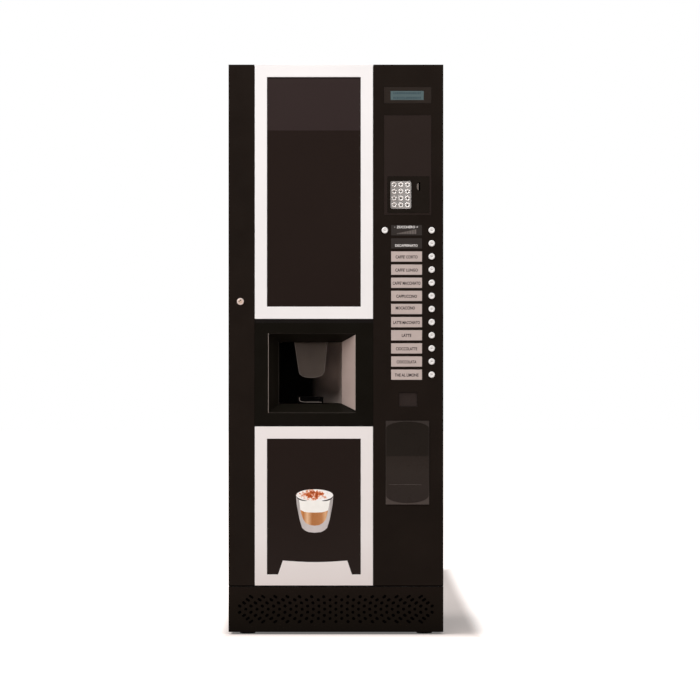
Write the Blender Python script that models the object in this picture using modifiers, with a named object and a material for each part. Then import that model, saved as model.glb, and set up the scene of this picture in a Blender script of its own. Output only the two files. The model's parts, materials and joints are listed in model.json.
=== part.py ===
"""Hot drinks vending machine, free standing: a steel cabinet, a swinging front door and the works inside.

Metres, +Z up. The front faces -Y and the origin is on the floor under the middle of the machine.
"""

import math

import bmesh
import bpy
from mathutils import Matrix, Vector

# Overall sizes
WIDTH = 0.690
HEIGHT = 1.830
DEPTH = 0.735

# Fits
GAP = 0.0003  # between faces that touch
RUNNING = 0.0007  # between a hinge plate and the door that turns on it
SEAM = 0.001  # between neighbouring front panels
PANEL_FIT = 0.0005  # all round a panel that drops into an opening
PIN_FIT = 0.0005  # all round a pin in its hole
OVERRUN = 0.002  # how far a cutter passes its face

# Sheet and plate thicknesses
SHEET = 0.002
FASCIA = 0.003
TRIM_PROUD = 0.0015  # silver frames, past the fascias
BUTTON_PROUD = 0.0045  # buttons, past the fascias
INLET_PROUD = 0.012  # water inlet, past the rear cover

# Plinth, feet and kick plate
PLINTH_BOTTOM = 0.008
PLINTH_TOP = 0.1534
FOOT_RADIUS = 0.025
FOOT_STEM_RADIUS = 0.006
FOOT_STEM_TOP = 0.030
FOOT_INSET_SIDE = 0.060
FOOT_INSET_FRONT = 0.070
CORNER_PAD = 0.080
CORNER_PAD_THICKNESS = 0.010
AIR_WINDOW_MARGIN = 0.040
GRILLE_CENTRE_HEIGHT = 0.0812
GRILLE_ROW_PITCH = 0.010
GRILLE_HOLE_PITCH = 0.0362
GRILLE_FAN = 0.0047  # how much the pitch grows towards the outer rows
GRILLE_HOLE = 0.0078
GRILLE_SLOT_WIDTH = 0.0065
GRILLE_STRETCH = 0.010  # extra length of the furthest slots
GRILLE_SLANT = math.radians(34)
GRILLE_ROWS = 4  # above and below the middle row
GRILLE_HOLES_EACH_SIDE = {0: 8, 1: 9, 2: 8, 3: 8, 4: 7}

# Cabinet
SIDE_FLANGE = 0.050
REAR_FLANGE = 0.020
ROOF_LIP = 0.020
DOOR_SEAL = 0.004
LOUVRE_COUNT = 7
LOUVRE_LENGTH = 0.240
LOUVRE_HEIGHT = 0.006
LOUVRE_PITCH = 0.022
LOUVRE_BOTTOM = 0.300
GLAND_RADIUS = 0.014
GLAND_BORE = 0.005
WATER_RADIUS = 0.0132
WATER_BORE = 0.008
INLET_HEIGHT = 0.230
GLAND_FROM_SIDE = 0.120
WATER_FROM_SIDE = 0.200

# Door
DOOR_THICKNESS = 0.0567
DOOR_TOP_GAP = 0.001
LEFT_STRIP = 0.084
CONTROL_WIDTH = 0.2255
LOWER_FRAME_HEIGHT = 0.5107
LOWER_SEAM = 0.0033
BAY_HEIGHT = 0.3296
DARK_STRIP = 0.0128
TRIM_BORDER = 0.0392
LEDGE = 0.007  # how far the door frame reaches behind a panel
MIDDLE_STILE_EDGE = 0.0205  # control window, past the poster column
RIGHT_STILE = 0.0245
CONTROL_WINDOW_TOP = 0.056
CONTROL_WINDOW_BELOW_FLAP = 0.0317

# Hinges
HINGE_PLATE = 0.003
HINGE_FROM_SIDE = 0.012
HINGE_FROM_FASCIA = 0.028
HINGE_PIN_RADIUS = 0.006
HINGE_PIN_LENGTH = 0.027
HINGE_PLATE_WIDTH = 0.042
HINGE_PLATE_FRONT = 0.017
HINGE_PLATE_BACK = 0.115

# Lock and latch
LOCK_FROM_SIDE = 0.0382
LOCK_DROP = 0.7563  # below the top of the door
LOCK_FLANGE_RADIUS = 0.0125
LOCK_FLANGE = 0.0025
LOCK_BARREL_RADIUS = 0.0095
LOCK_PLUG_RADIUS = 0.0065
LOCK_REACH = 0.043
CAM_RADIUS = 0.014
CAM_THICKNESS = 0.003
CAM_HALF_WIDTH = 0.0045
CAM_PIN_RADIUS = 0.002
CAM_SLOT_FIT = 0.0006
KEYWAY_WIDTH = 0.0018
KEYWAY_HEIGHT = 0.008
KEYWAY_DEPTH = 0.006
LATCH_OUTER = 0.0092  # from the lock axis to the outer edge of the bar
LATCH_WIDTH = 0.018
LATCH_THICKNESS = 0.003
LATCH_FROM_BACK = 0.006
LATCH_BELOW_LOCK = 0.670
LATCH_ABOVE_LOCK = 0.430
LATCH_GUIDE_FIT = 0.0006
LATCH_TAB_HALF = 0.012
HOOK_THICKNESS = 0.003
HOOK_REACH = 0.022
HOOK_TIP = 0.0065
HOOK_ARM = 0.020
HOOK_UPTURN = 0.014
HOOKS_FROM_LOCK = (-0.450, 0.240)
HOOK_SLOT_ABOVE = 0.007
HOOK_SLOT_BELOW = 0.002
HOOK_SLOT_SIDE = 0.0035
STILE_POCKET_EDGE = 0.015
STILE_POCKET_WIDTH = 0.095
STILE_WALL = 0.003
STILE_POCKET_BELOW_LOCK = 0.770
STILE_POCKET_ABOVE_LOCK = 0.630
GUIDES_FROM_LOCK = (-0.620, -0.120, 0.380)
GUIDE_HEIGHT = 0.024

# Delivery bay
BAY_MARGIN_LEFT = 0.0439
BAY_MARGIN_RIGHT = 0.0569
BAY_MARGIN_BOTTOM = 0.0407
BAY_MARGIN_TOP = 0.0338
BEVEL_LEFT = 0.0334
BEVEL_RIGHT = 0.0436
BEVEL_TOP = 0.0283
BEVEL_BOTTOM = 0.0286
BEVEL_DEPTH = 0.045
BEVEL_WALL = 0.003
NICHE_DEPTH = 0.150
NICHE_STRAIGHT = 0.060
NICHE_WALL = 0.0025
NICHE_RIM = 0.010
NICHE_ARC_STEPS = 12
NOZZLE_HALF_TOP = 0.0539
NOZZLE_HALF_BOTTOM = 0.0416
NOZZLE_HEIGHT = 0.1153
NOZZLE_CORNER = 0.016
NOZZLE_SETBACK = 0.013
NOZZLE_DEPTH = 0.060
NOZZLE_WALL = 0.003
SPOUT_RADIUS = 0.006
SPOUT_BORE = 0.0035
SPOUT_LENGTH = 0.085
SPOUT_PITCH = 0.024
STAND_HALF = 0.0416
STAND_HEIGHT = 0.0215
STAND_SETBACK = 0.018
STAND_DEPTH = 0.085
STAND_RIB_COUNT = 6
STAND_RIB_GAP = 0.006
STAND_RIB_PITCH = 0.0125
STAND_SLOT_DEPTH = 0.010
FLAP_THICKNESS = 0.0024
FLAP_CLEAR = 0.001
FLAP_AXIS_FROM_EDGE = 0.0035
FLAP_AXIS_FORWARD = 0.0055
FLAP_BARREL = 0.003
FLAP_PIN = 0.0018
FLAP_PIN_REACH = 0.0052

# Badge plate at the foot of the lower frame
BADGE_HALF_BOTTOM = 0.1187
BADGE_HALF_TOP = 0.1036
BADGE_HEIGHT = 0.0446
BADGE_DIP = 0.005
BADGE_OFFSET = -0.0046
BADGE_STEPS = 8

# Control column, measured down from the top of the door and in from its edges
DISPLAY_DROP = 0.0673
DISPLAY_HEIGHT = 0.0527
DISPLAY_LEFT = 0.035
DISPLAY_RIGHT = 0.0379
DISPLAY_BODY = 0.022
SCREEN_LEFT = 0.0209
SCREEN_RIGHT = 0.0224
SCREEN_BOTTOM = 0.0094
SCREEN_TOP = 0.0115
SCREEN_RECESS = 0.001
PAYMENT_DROP = 0.1579
PAYMENT_HEIGHT = 0.3206
RIM = 0.006  # how far a set-in module reaches behind its opening
RIM_THICKNESS = 0.002
TERMINAL_LEFT = 0.0113
TERMINAL_RIGHT = 0.0071
TERMINAL_BOTTOM = 0.0065
TERMINAL_HEIGHT = 0.117
TERMINAL_PROUD = 0.0008
TERMINAL_DEPTH = 0.045
MAT_LEFT = 0.009
MAT_BOTTOM = 0.0125
MAT_WIDTH = 0.0681
MAT_HEIGHT = 0.0899
MAT_CORNER = 0.010
MAT_THICKNESS = 0.0025
MAT_PROUD = 0.0010
KEY_RADIUS = 0.008
KEY_PITCH = 0.022
KEY_PROUD = 0.0012
COIN_SLOT_FROM_RIGHT = 0.032
COIN_SLOT_FROM_BOTTOM = 0.085
COIN_SLOT_WIDTH = 0.0055
COIN_SLOT_HEIGHT = 0.027
COIN_MECH_LEFT = 0.0305
COIN_MECH_RIGHT = 0.060
COIN_MECH_ABOVE = 0.014
COIN_MECH_BELOW = 0.380
COIN_MECH_DEPTH = 0.098
COIN_MECH_EAR = 0.045
COIN_MECH_EAR_HEIGHT = 0.040
COIN_TRACK_WIDTH = 0.0075
COIN_TRACK_FRONT = 0.022
COIN_TRACK_BACK = 0.050
CHUTE_WIDTH = 0.057
CHUTE_WALL = 0.003
BUTTON_DROP = 0.5276
BUTTON_PITCH = 0.04217
BUTTON_ROWS = 12
BUTTON_FROM_RIGHT = 0.0373
BUTTON_FROM_LEFT = 0.0376
BUTTON_RADIUS = 0.011
BUTTON_FIT = 0.0004
BUTTON_RIM = 0.0018
BUTTON_RIM_THICKNESS = 0.002
BUTTON_STEM_RADIUS = 0.005
BUTTON_STEM_LENGTH = 0.012
BUTTON_EDGE = 0.0012
BUTTON_SIDES = 12
LABEL_LEFT = 0.0569
LABEL_RIGHT = 0.0652
LABEL_HEIGHT = 0.0337
LABEL_RECESS = 0.0006
COIN_FLAP_DROP = 1.0477
COIN_FLAP_HEIGHT = 0.0466
COIN_FLAP_LEFT = 0.0822
COIN_FLAP_WIDTH = 0.0598
COIN_FLAP_THICKNESS = 0.002
COIN_FLAP_AXIS_BACK = 0.007
COIN_FLAP_AXIS_DROP = 0.0038
COIN_FLAP_LUG = 0.002
COIN_FLAP_PIN = 0.002
COIN_CUP_WALL = 0.0025
COIN_CUP_DEPTH = 0.098
COIN_CUP_BELOW = 0.012
COIN_CUP_ABOVE = 0.014
COIN_CUP_SIDE = 0.001
INFO_DROP = 1.1396
INFO_HEIGHT = 0.2688
INFO_LEFT = 0.0405
INFO_WIDTH = 0.1394
INFO_CORNER = 0.012
INFO_THICKNESS = 0.0022
INFO_ARC = 0.006

# Works inside the cabinet
BULKHEAD_FROM_REAR = 0.1515
SHELF_DROP = 0.4267
SHELF_REACH = 0.340
MAGAZINE_FROM_SIDE = 0.145
MAGAZINE_FORWARD = 0.2097
MAGAZINE_RADIUS = 0.125
MAGAZINE_HEIGHT = 0.387
MAGAZINE_LIFT = 0.003
MAGAZINE_TUBES = 5
MAGAZINE_TUBE_RADIUS = 0.036
MAGAZINE_TUBE_CIRCLE = 0.080
MAGAZINE_FLOOR = 0.004
SPINDLE_RADIUS = 0.012
CANISTER_COUNT = 3
CANISTER_FROM_SIDE = 0.283
CANISTER_WIDTH = 0.078
CANISTER_PITCH = 0.082
CANISTER_LENGTH = 0.320
CANISTER_HEIGHT = 0.300
CANISTER_WALL = 0.003
CANISTER_MOUTH = 0.050
CANISTER_SPOUT_RADIUS = 0.018
CANISTER_SPOUT_LENGTH = 0.022
CANISTER_SPOUT_HEIGHT = 0.034
GRINDER_FROM_SIDE = 0.085
GRINDER_FORWARD = 0.110
GRINDER_RADIUS = 0.060
GRINDER_NECK = 0.030
GRINDER_BODY = 0.150
GRINDER_HEIGHT = 0.200
HOPPER_RADIUS = 0.072
HOPPER_HEIGHT = 0.190
HOPPER_WALL = 0.003
BREW_FROM_SIDE = 0.085
BREW_WIDTH = 0.120
BREW_DEPTH = 0.100
BREW_HEIGHT = 0.280
BREW_DROP = 0.070
BREW_CHAMBER_RADIUS = 0.038
BREW_CHAMBER_HEIGHT = 0.150
MIXER_FROM_SIDE = 0.275
MIXER_WIDTH = 0.246
MIXER_HEIGHT = 0.150
MIXER_DROP = 0.070
MIXER_PLATE = 0.020
MIXER_BOWL_RADIUS = 0.036
MIXER_BOWL_LENGTH = 0.060
BOILER_FROM_SIDE = 0.285
BOILER_RADIUS = 0.060
BOILER_HEIGHT = 0.280
BOILER_DROP = 0.320
BOILER_BRACKET = 0.018
BOILER_STANDOFF = 0.075
BIN_FROM_SIDE = 0.145
BIN_WIDTH = 0.400
BIN_DEPTH = 0.330
BIN_HEIGHT = 0.400
BIN_WALL = 0.003
CONTROL_BOX_FROM_SIDE = 0.015
CONTROL_BOX_WIDTH = 0.210
CONTROL_BOX_DEPTH = 0.060
CONTROL_BOX_HEIGHT = 0.330
CONTROL_BOX_DROP = 0.450
CONTROL_BOX_CHAMFER = 0.012

# Places worked out from the sizes above
LEFT = -WIDTH / 2
RIGHT = WIDTH / 2
FRONT = -DEPTH / 2
BACK = DEPTH / 2
fascia_front = FRONT + BUTTON_PROUD
fascia_back = fascia_front + FASCIA
trim_front = fascia_front - TRIM_PROUD
frame_front = fascia_back + GAP
frame_back = frame_front + DOOR_THICKNESS
cabinet_front = frame_back + DOOR_SEAL
rear_outer = BACK - INLET_PROUD
rear_inner = rear_outer - SHEET
cabinet_back = rear_inner - GAP
plinth_front = fascia_front + SHEET + GAP
roof_top = HEIGHT - HINGE_PLATE - GAP
roof_under = roof_top - SHEET
side_top = roof_under - GAP
door_bottom = PLINTH_TOP + GAP + HINGE_PLATE + RUNNING
door_top = HEIGHT - HINGE_PLATE - DOOR_TOP_GAP
hinge_x = RIGHT - HINGE_FROM_SIDE
hinge_y = fascia_front + HINGE_FROM_FASCIA
poster_left = LEFT + LEFT_STRIP
poster_right = RIGHT - CONTROL_WIDTH
poster_x = (poster_left + SEAM / 2, poster_right - SEAM / 2)
lower_z = (door_bottom, door_bottom + LOWER_FRAME_HEIGHT)
bay_z = (lower_z[1] + LOWER_SEAM, lower_z[1] + LOWER_SEAM + BAY_HEIGHT)
upper_z = (bay_z[1] + DARK_STRIP, door_top)
mouth_x = (poster_left + BAY_MARGIN_LEFT, poster_right - BAY_MARGIN_RIGHT)
mouth_z = (bay_z[0] + BAY_MARGIN_BOTTOM, bay_z[1] - BAY_MARGIN_TOP)
throat_x = (mouth_x[0] + BEVEL_LEFT, mouth_x[1] - BEVEL_RIGHT)
throat_z = (mouth_z[0] + BEVEL_BOTTOM, mouth_z[1] - BEVEL_TOP)
throat_y = fascia_front + BEVEL_DEPTH
throat_middle = (throat_x[0] + throat_x[1]) / 2
lock_x = LEFT + LOCK_FROM_SIDE
lock_z = door_top - LOCK_DROP
shelf_z = roof_top - SHELF_DROP
bulkhead_y = rear_inner - BULKHEAD_FROM_REAR - SHEET
works_back = bulkhead_y - GAP

PARTS = bpy.data.collections.new("hot_coffee_vending_machine")
CUTTERS = bpy.data.collections.new("cutters")


# Building blocks


def place(name, mesh, collection):
    """An object for a mesh, in one of the two collections."""
    made = bpy.data.objects.new(name, mesh)
    collection.objects.link(made)
    if collection is CUTTERS:
        made.hide_render = True
        made.display_type = "WIRE"
    return made


def from_bmesh(name, shape, collection):
    """An object for a finished bmesh, which is freed."""
    bmesh.ops.recalc_face_normals(shape, faces=shape.faces)
    mesh = bpy.data.meshes.new(name)
    shape.to_mesh(mesh)
    shape.free()
    return place(name, mesh, collection)


def block(name, x, y, z, collection=CUTTERS):
    """A box given by its two ends along each axis."""
    shape = bmesh.new()
    bmesh.ops.create_cube(shape, size=1.0)
    size = Vector((x[1] - x[0], y[1] - y[0], z[1] - z[0]))
    bmesh.ops.scale(shape, vec=size, verts=shape.verts)
    middle = Vector((x[0] + x[1], y[0] + y[1], z[0] + z[1])) / 2
    bmesh.ops.translate(shape, vec=middle, verts=shape.verts)
    return from_bmesh(name, shape, collection)


def funnel_block(name, front_x, front_z, back_x, back_z, y, collection=CUTTERS):
    """A box along Y whose front face and back face have different sizes."""
    shape = bmesh.new()
    bmesh.ops.create_cube(shape, size=2.0)
    for corner in shape.verts:
        side_x, side_z = (front_x, front_z) if corner.co.y < 0 else (back_x, back_z)
        corner.co = Vector((side_x[corner.co.x > 0], y[corner.co.y > 0], side_z[corner.co.z > 0]))
    return from_bmesh(name, shape, collection)


def rod(name, start, end, radius, sides=16, collection=CUTTERS):
    """A round bar between two points."""
    start, end = Vector(start), Vector(end)
    run = end - start
    turn = run.to_track_quat("Z", "Y").to_matrix().to_4x4()
    shape = bmesh.new()
    bmesh.ops.create_cone(
        shape,
        cap_ends=True,
        segments=sides,
        radius1=radius,
        radius2=radius,
        depth=run.length,
        matrix=Matrix.Translation((start + end) / 2) @ turn,
    )
    return from_bmesh(name, shape, collection)


# Where an outline's first axis, second axis and thickness point.
STANDING = Matrix(((1, 0, 0), (0, 0, -1), (0, 1, 0))).to_4x4()  # outline in X and Z
LYING = Matrix.Identity(4)  # outline in X and Y
SIDEWAYS = Matrix(((0, 0, 1), (1, 0, 0), (0, 1, 0))).to_4x4()  # outline in Y and Z


def plate(name, outlines, ends, facing=STANDING, collection=CUTTERS):
    """A flat piece from closed outlines, the later ones holes, between two ends of its thickness."""
    curve = bpy.data.curves.new(name, "CURVE")
    curve.dimensions = "2D"
    curve.fill_mode = "BOTH"
    curve.render_resolution_u = 0
    curve.extrude = (ends[1] - ends[0]) / 2
    for outline in outlines:
        spline = curve.splines.new("POLY")
        spline.points.add(len(outline) - 1)
        for point, (across, up) in zip(spline.points, outline):
            point.co = (across, up, 0, 1)
        spline.use_cyclic_u = True
    drawn = bpy.data.objects.new(name + "_outline", curve)
    CUTTERS.objects.link(drawn)
    middle = (ends[0] + ends[1]) / 2
    shift = -middle if facing is STANDING else middle
    drawn.matrix_world = facing @ Matrix.Translation((0, 0, shift))
    bpy.context.view_layer.update()
    mesh = bpy.data.meshes.new_from_object(drawn.evaluated_get(bpy.context.evaluated_depsgraph_get()))
    mesh.transform(drawn.matrix_world)
    bpy.data.objects.remove(drawn, do_unlink=True)
    shape = bmesh.new()
    shape.from_mesh(mesh)
    bmesh.ops.remove_doubles(shape, verts=shape.verts, dist=0.00001)
    return from_bmesh(name, shape, collection)


def turned(name, profile, base, sides=24, facing=LYING, collection=PARTS):
    """A turned piece: (radius, height) points down the outer side, from the axis back to the axis."""
    mesh = bpy.data.meshes.new(name)
    points = [(radius, 0, height) for radius, height in profile]
    edges = [(index, index + 1) for index in range(len(points) - 1)]
    if profile[0][0] > 0:
        edges.append((len(points) - 1, 0))
    mesh.from_pydata(points, edges, [])
    made = place(name, mesh, collection)
    spin = made.modifiers.new("turn", "SCREW")
    spin.steps = sides
    spin.render_steps = sides
    spin.use_merge_vertices = True
    spin.merge_threshold = 0.00001
    made.matrix_world = Matrix.Translation(base) @ facing
    return made


def cut(piece, *tools):
    """Takes each tool's shape out of a piece."""
    for tool in tools:
        bite = piece.modifiers.new("cut_" + tool.name, "BOOLEAN")
        bite.operation = "DIFFERENCE"
        bite.solver = "EXACT"
        bite.object = tool


def weld_on(piece, *additions):
    """Makes each addition one body with a piece."""
    for addition in additions:
        weld = piece.modifiers.new("weld_" + addition.name, "BOOLEAN")
        weld.operation = "UNION"
        weld.solver = "EXACT"
        weld.object = addition


def finish(piece, colour, roughness, metallic=0.0, alpha=1.0):
    """A piece's own material."""
    material = bpy.data.materials.new(piece.name + "_finish")
    material.use_nodes = True
    shader = material.node_tree.nodes["Principled BSDF"]
    shader.inputs["Base Color"].default_value = (*colour, 1)
    shader.inputs["Roughness"].default_value = roughness
    shader.inputs["Metallic"].default_value = metallic
    shader.inputs["Alpha"].default_value = alpha
    piece.data.materials.clear()
    piece.data.materials.append(material)


def carry(empty_name, place_on_axis, *pieces):
    """Hangs moving pieces on an empty that stands on their joint's axis."""
    axis = bpy.data.objects.new(empty_name, None)
    PARTS.objects.link(axis)
    axis.location = place_on_axis
    bpy.context.view_layer.update()
    for piece in pieces:
        kept = piece.matrix_world.copy()
        piece.parent = axis
        piece.matrix_parent_inverse = axis.matrix_world.inverted()
        piece.matrix_world = kept


def rectangle(x, z):
    """The four corners of a rectangle."""
    return [(x[0], z[0]), (x[1], z[0]), (x[1], z[1]), (x[0], z[1])]


def arc(centre, radius, start, end, steps):
    """Points along an arc; angles in degrees."""
    turn = [math.radians(start + (end - start) * step / steps) for step in range(steps + 1)]
    return [(centre[0] + radius * math.cos(a), centre[1] + radius * math.sin(a)) for a in turn]


def rounded(x, z, radius, steps=4):
    """A rectangle with round corners."""
    corners = (
        ((x[0] + radius, z[0] + radius), 180),
        ((x[1] - radius, z[0] + radius), 270),
        ((x[1] - radius, z[1] - radius), 0),
        ((x[0] + radius, z[1] - radius), 90),
    )
    return [point for centre, start in corners for point in arc(centre, radius, start, start + 90, steps)]


def grown(span, amount):
    """A span made longer at both ends."""
    return (span[0] - amount, span[1] + amount)


BLACK_PAINT = (0.016, 0.014, 0.012)
DARK_GLOSS = (0.010, 0.009, 0.008)
SILVER = (0.84, 0.82, 0.80)
ZINC = (0.55, 0.56, 0.57)
BLACK_PLASTIC = (0.020, 0.018, 0.017)
GREY_PLASTIC = (0.045, 0.040, 0.037)
WHITE_PLASTIC = (0.90, 0.89, 0.87)
STEEL = (0.62, 0.62, 0.61)
CLEAR = (0.80, 0.82, 0.82)


# Plinth and feet


def foot_centres():
    """Name and place of each foot."""
    for side, x in (("left", LEFT + FOOT_INSET_SIDE), ("right", RIGHT - FOOT_INSET_SIDE)):
        yield "foot_front_" + side, x, fascia_front + FOOT_INSET_FRONT
        yield "foot_rear_" + side, x, cabinet_back - FOOT_INSET_FRONT


def build_base_pan():
    """A pressed steel plinth, open below, with a thick pad over each foot."""
    inner_x = grown((LEFT, RIGHT), -SHEET - GAP)
    outer_y = (plinth_front, cabinet_back)
    pan = block("base_pan", inner_x, outer_y, (PLINTH_BOTTOM + GAP, PLINTH_TOP), PARTS)
    below = (PLINTH_BOTTOM - OVERRUN, PLINTH_TOP - SHEET)
    cut(pan, block("plinth_hollow", grown(inner_x, -SHEET), grown(outer_y, -SHEET), below))
    pad_z = (PLINTH_BOTTOM + 2 * GAP, PLINTH_BOTTOM + 2 * GAP + CORNER_PAD_THICKNESS)
    for name, x, y in foot_centres():
        outward_x = inner_x[0] if x < 0 else inner_x[1]
        outward_y = outer_y[0] if y < 0 else outer_y[1]
        inward_x = outward_x + math.copysign(CORNER_PAD, -x)
        inward_y = outward_y + math.copysign(CORNER_PAD + FOOT_INSET_FRONT / 2, -y)
        pad_x = sorted((outward_x + math.copysign(SHEET / 2, -x), inward_x))
        pad_y = sorted((outward_y + math.copysign(SHEET / 2, -y), inward_y))
        weld_on(pan, block(name + "_pad", pad_x, pad_y, pad_z))
        hole_radius = FOOT_STEM_RADIUS + PIN_FIT
        cut(pan, rod(name + "_hole", (x, y, 0), (x, y, pad_z[1] + OVERRUN), hole_radius))
    window_x = grown(inner_x, -AIR_WINDOW_MARGIN)
    window_y = grown((plinth_front, plinth_front + SHEET), OVERRUN)
    window_z = (PLINTH_BOTTOM + AIR_WINDOW_MARGIN / 2, PLINTH_TOP - AIR_WINDOW_MARGIN / 2)
    cut(pan, block("air_window", window_x, window_y, window_z))
    finish(pan, ZINC, 0.45, 0.8)


def build_feet():
    """Four screwed feet: a round pad with a threaded stem up through the plinth."""
    for name, x, y in foot_centres():
        profile = [
            (0, FOOT_STEM_TOP),
            (FOOT_STEM_RADIUS, FOOT_STEM_TOP),
            (FOOT_STEM_RADIUS, PLINTH_BOTTOM),
            (FOOT_RADIUS * 0.8, PLINTH_BOTTOM),
            (FOOT_RADIUS, PLINTH_BOTTOM / 2),
            (FOOT_RADIUS, 0),
            (0, 0),
        ]
        finish(turned(name, profile, (x, y, 0), sides=16), BLACK_PLASTIC, 0.6)


def grille_hole(x, z, row):
    """One hole: round in the middle of the plate, a slanted slot towards its far corners."""
    reach = abs(x) / (GRILLE_HOLE_PITCH * GRILLE_HOLES_EACH_SIDE[0]) * abs(row) / GRILLE_ROWS
    half_length = (GRILLE_HOLE + GRILLE_STRETCH * reach) / 2
    half_width = (GRILLE_HOLE + (GRILLE_SLOT_WIDTH - GRILLE_HOLE) * reach) / 2
    shoulder = half_length - half_width / 2
    flat = [
        (half_length, 0),
        (shoulder, half_width),
        (-shoulder, half_width),
        (-half_length, 0),
        (-shoulder, -half_width),
        (shoulder, -half_width),
    ]
    lean = GRILLE_SLANT * (1 if x * row > 0 else -1)
    return [
        (x + u * math.cos(lean) - v * math.sin(lean), z + u * math.sin(lean) + v * math.cos(lean))
        for u, v in flat
    ]


def grille_holes():
    """Outlines of all the air holes, row by row, spreading out towards the top and bottom rows."""
    holes = []
    for row in range(-GRILLE_ROWS, GRILLE_ROWS + 1):
        pitch = GRILLE_HOLE_PITCH * (1 + GRILLE_FAN * row * row)
        count = GRILLE_HOLES_EACH_SIDE[abs(row)]
        if row % 2:
            steps = [index + 0.5 for index in range(count)]
            places = [-step for step in steps] + steps
        else:
            places = range(-count, count + 1)
        z = GRILLE_CENTRE_HEIGHT + row * GRILLE_ROW_PITCH
        holes += [grille_hole(place_x * pitch, z, row) for place_x in places]
    return holes


def build_kick_grille():
    """A black steel apron round the front of the plinth, with its air holes."""
    back = cabinet_front - GAP
    outline = [
        (LEFT, fascia_front),
        (RIGHT, fascia_front),
        (RIGHT, back),
        (RIGHT - SHEET, back),
        (RIGHT - SHEET, fascia_front + SHEET),
        (LEFT + SHEET, fascia_front + SHEET),
        (LEFT + SHEET, back),
        (LEFT, back),
    ]
    apron = plate("kick_grille", [outline], (PLINTH_BOTTOM, PLINTH_TOP), LYING, PARTS)
    through = grown((fascia_front, fascia_front + SHEET), OVERRUN / 2)
    cut(apron, plate("air_holes", grille_holes(), through))
    finish(apron, BLACK_PAINT, 0.5)


# Cabinet


def hook_slots():
    """Bottom and top of the slots that the latch hooks pass through."""
    for drop in HOOKS_FROM_LOCK:
        bottom = lock_z + drop
        tip = bottom + HOOK_ARM + HOOK_UPTURN
        yield bottom - HOOK_SLOT_BELOW, tip + HOOK_SLOT_ABOVE


def build_side(name, outer, inward):
    """A folded side panel with a front flange and a rear flange."""
    wall = outer + inward * SHEET
    front_edge = outer + inward * (SIDE_FLANGE + SHEET)
    rear_edge = outer + inward * REAR_FLANGE
    outline = [
        (outer, cabinet_front),
        (front_edge, cabinet_front),
        (front_edge, cabinet_front + SHEET),
        (wall, cabinet_front + SHEET),
        (wall, cabinet_back - SHEET),
        (rear_edge, cabinet_back - SHEET),
        (rear_edge, cabinet_back),
        (outer, cabinet_back),
    ]
    return plate(name, [outline], (PLINTH_BOTTOM, side_top), LYING, PARTS)


def plinth_notch(name, outer, inward):
    """Room at a front flange for the plinth, which runs forward, and for the bracket that lies on it."""
    edges = (outer + inward * SHEET, outer + inward * (SIDE_FLANGE + SHEET + OVERRUN))
    below = (PLINTH_BOTTOM - OVERRUN, door_bottom)
    front = grown((cabinet_front, cabinet_front + SHEET), OVERRUN)
    return block(name, tuple(sorted(edges)), front, below)


def rear_notch(name, outer, inward):
    """Room for the plinth at the rear flange."""
    edges = (outer + inward * SHEET, outer + inward * (REAR_FLANGE + OVERRUN))
    below = (PLINTH_BOTTOM - OVERRUN, PLINTH_TOP + GAP)
    rear = grown((cabinet_back - SHEET, cabinet_back), OVERRUN)
    return block(name, tuple(sorted(edges)), rear, below)


def build_cabinet():
    """Two sides, a roof and a screwed-on rear cover."""
    left = build_side("cabinet_left_side", LEFT, 1)
    right = build_side("cabinet_right_side", RIGHT, -1)
    cut(left, plinth_notch("left_front_notch", LEFT, 1), rear_notch("left_rear_notch", LEFT, 1))
    cut(right, plinth_notch("right_front_notch", RIGHT, -1), rear_notch("right_rear_notch", RIGHT, -1))
    hook_x = lock_x - LATCH_OUTER
    slot_x = grown((hook_x, hook_x + HOOK_THICKNESS), HOOK_SLOT_SIDE)
    through = grown((cabinet_front, cabinet_front + SHEET), OVERRUN)
    for number, slot_z in enumerate(hook_slots(), 1):
        cut(left, block(f"hook_slot_{number}", slot_x, through, slot_z))
    for side in (left, right):
        finish(side, BLACK_PAINT, 0.5)

    roof_x = (LEFT, RIGHT)
    roof_y = (cabinet_front, rear_outer)
    roof = block("cabinet_roof", roof_x, roof_y, (roof_under, roof_top), PARTS)
    lip_x = grown(roof_x, -SHEET - GAP)
    lip_y = (cabinet_front + SHEET + GAP, cabinet_back - SHEET - GAP)
    lip = block("roof_lip", lip_x, lip_y, (roof_under - ROOF_LIP, roof_top - SHEET / 2))
    inside = (roof_under - ROOF_LIP - OVERRUN, roof_under)
    weld_on(roof, lip)
    cut(roof, block("roof_hollow", grown(lip_x, -SHEET), grown(lip_y, -SHEET), inside))
    finish(roof, BLACK_PAINT, 0.5)

    cover = block("rear_cover", roof_x, (rear_inner, rear_outer), (PLINTH_BOTTOM, side_top), PARTS)
    gland_x = RIGHT - GLAND_FROM_SIDE
    water_x = RIGHT - WATER_FROM_SIDE
    for name, x, radius, bore in (
        ("mains_gland", gland_x, GLAND_RADIUS, GLAND_BORE),
        ("water_inlet", water_x, WATER_RADIUS, WATER_BORE),
    ):
        boss = rod(name, (x, rear_inner + SHEET / 2, INLET_HEIGHT), (x, BACK, INLET_HEIGHT), radius)
        start, end = (x, rear_inner - OVERRUN, INLET_HEIGHT), (x, BACK + OVERRUN, INLET_HEIGHT)
        weld_on(cover, boss)
        cut(cover, rod(name + "_bore", start, end, bore, sides=12))
    louvres = []
    for bottom in (LOUVRE_BOTTOM, side_top - LOUVRE_BOTTOM):
        for index in range(LOUVRE_COUNT):
            z = bottom + index * LOUVRE_PITCH
            louvres.append(rectangle((-LOUVRE_LENGTH / 2, LOUVRE_LENGTH / 2), (z, z + LOUVRE_HEIGHT)))
    cut(cover, plate("louvres", louvres, grown((rear_inner, rear_outer), OVERRUN)))
    finish(cover, ZINC, 0.4, 0.8)


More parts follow.
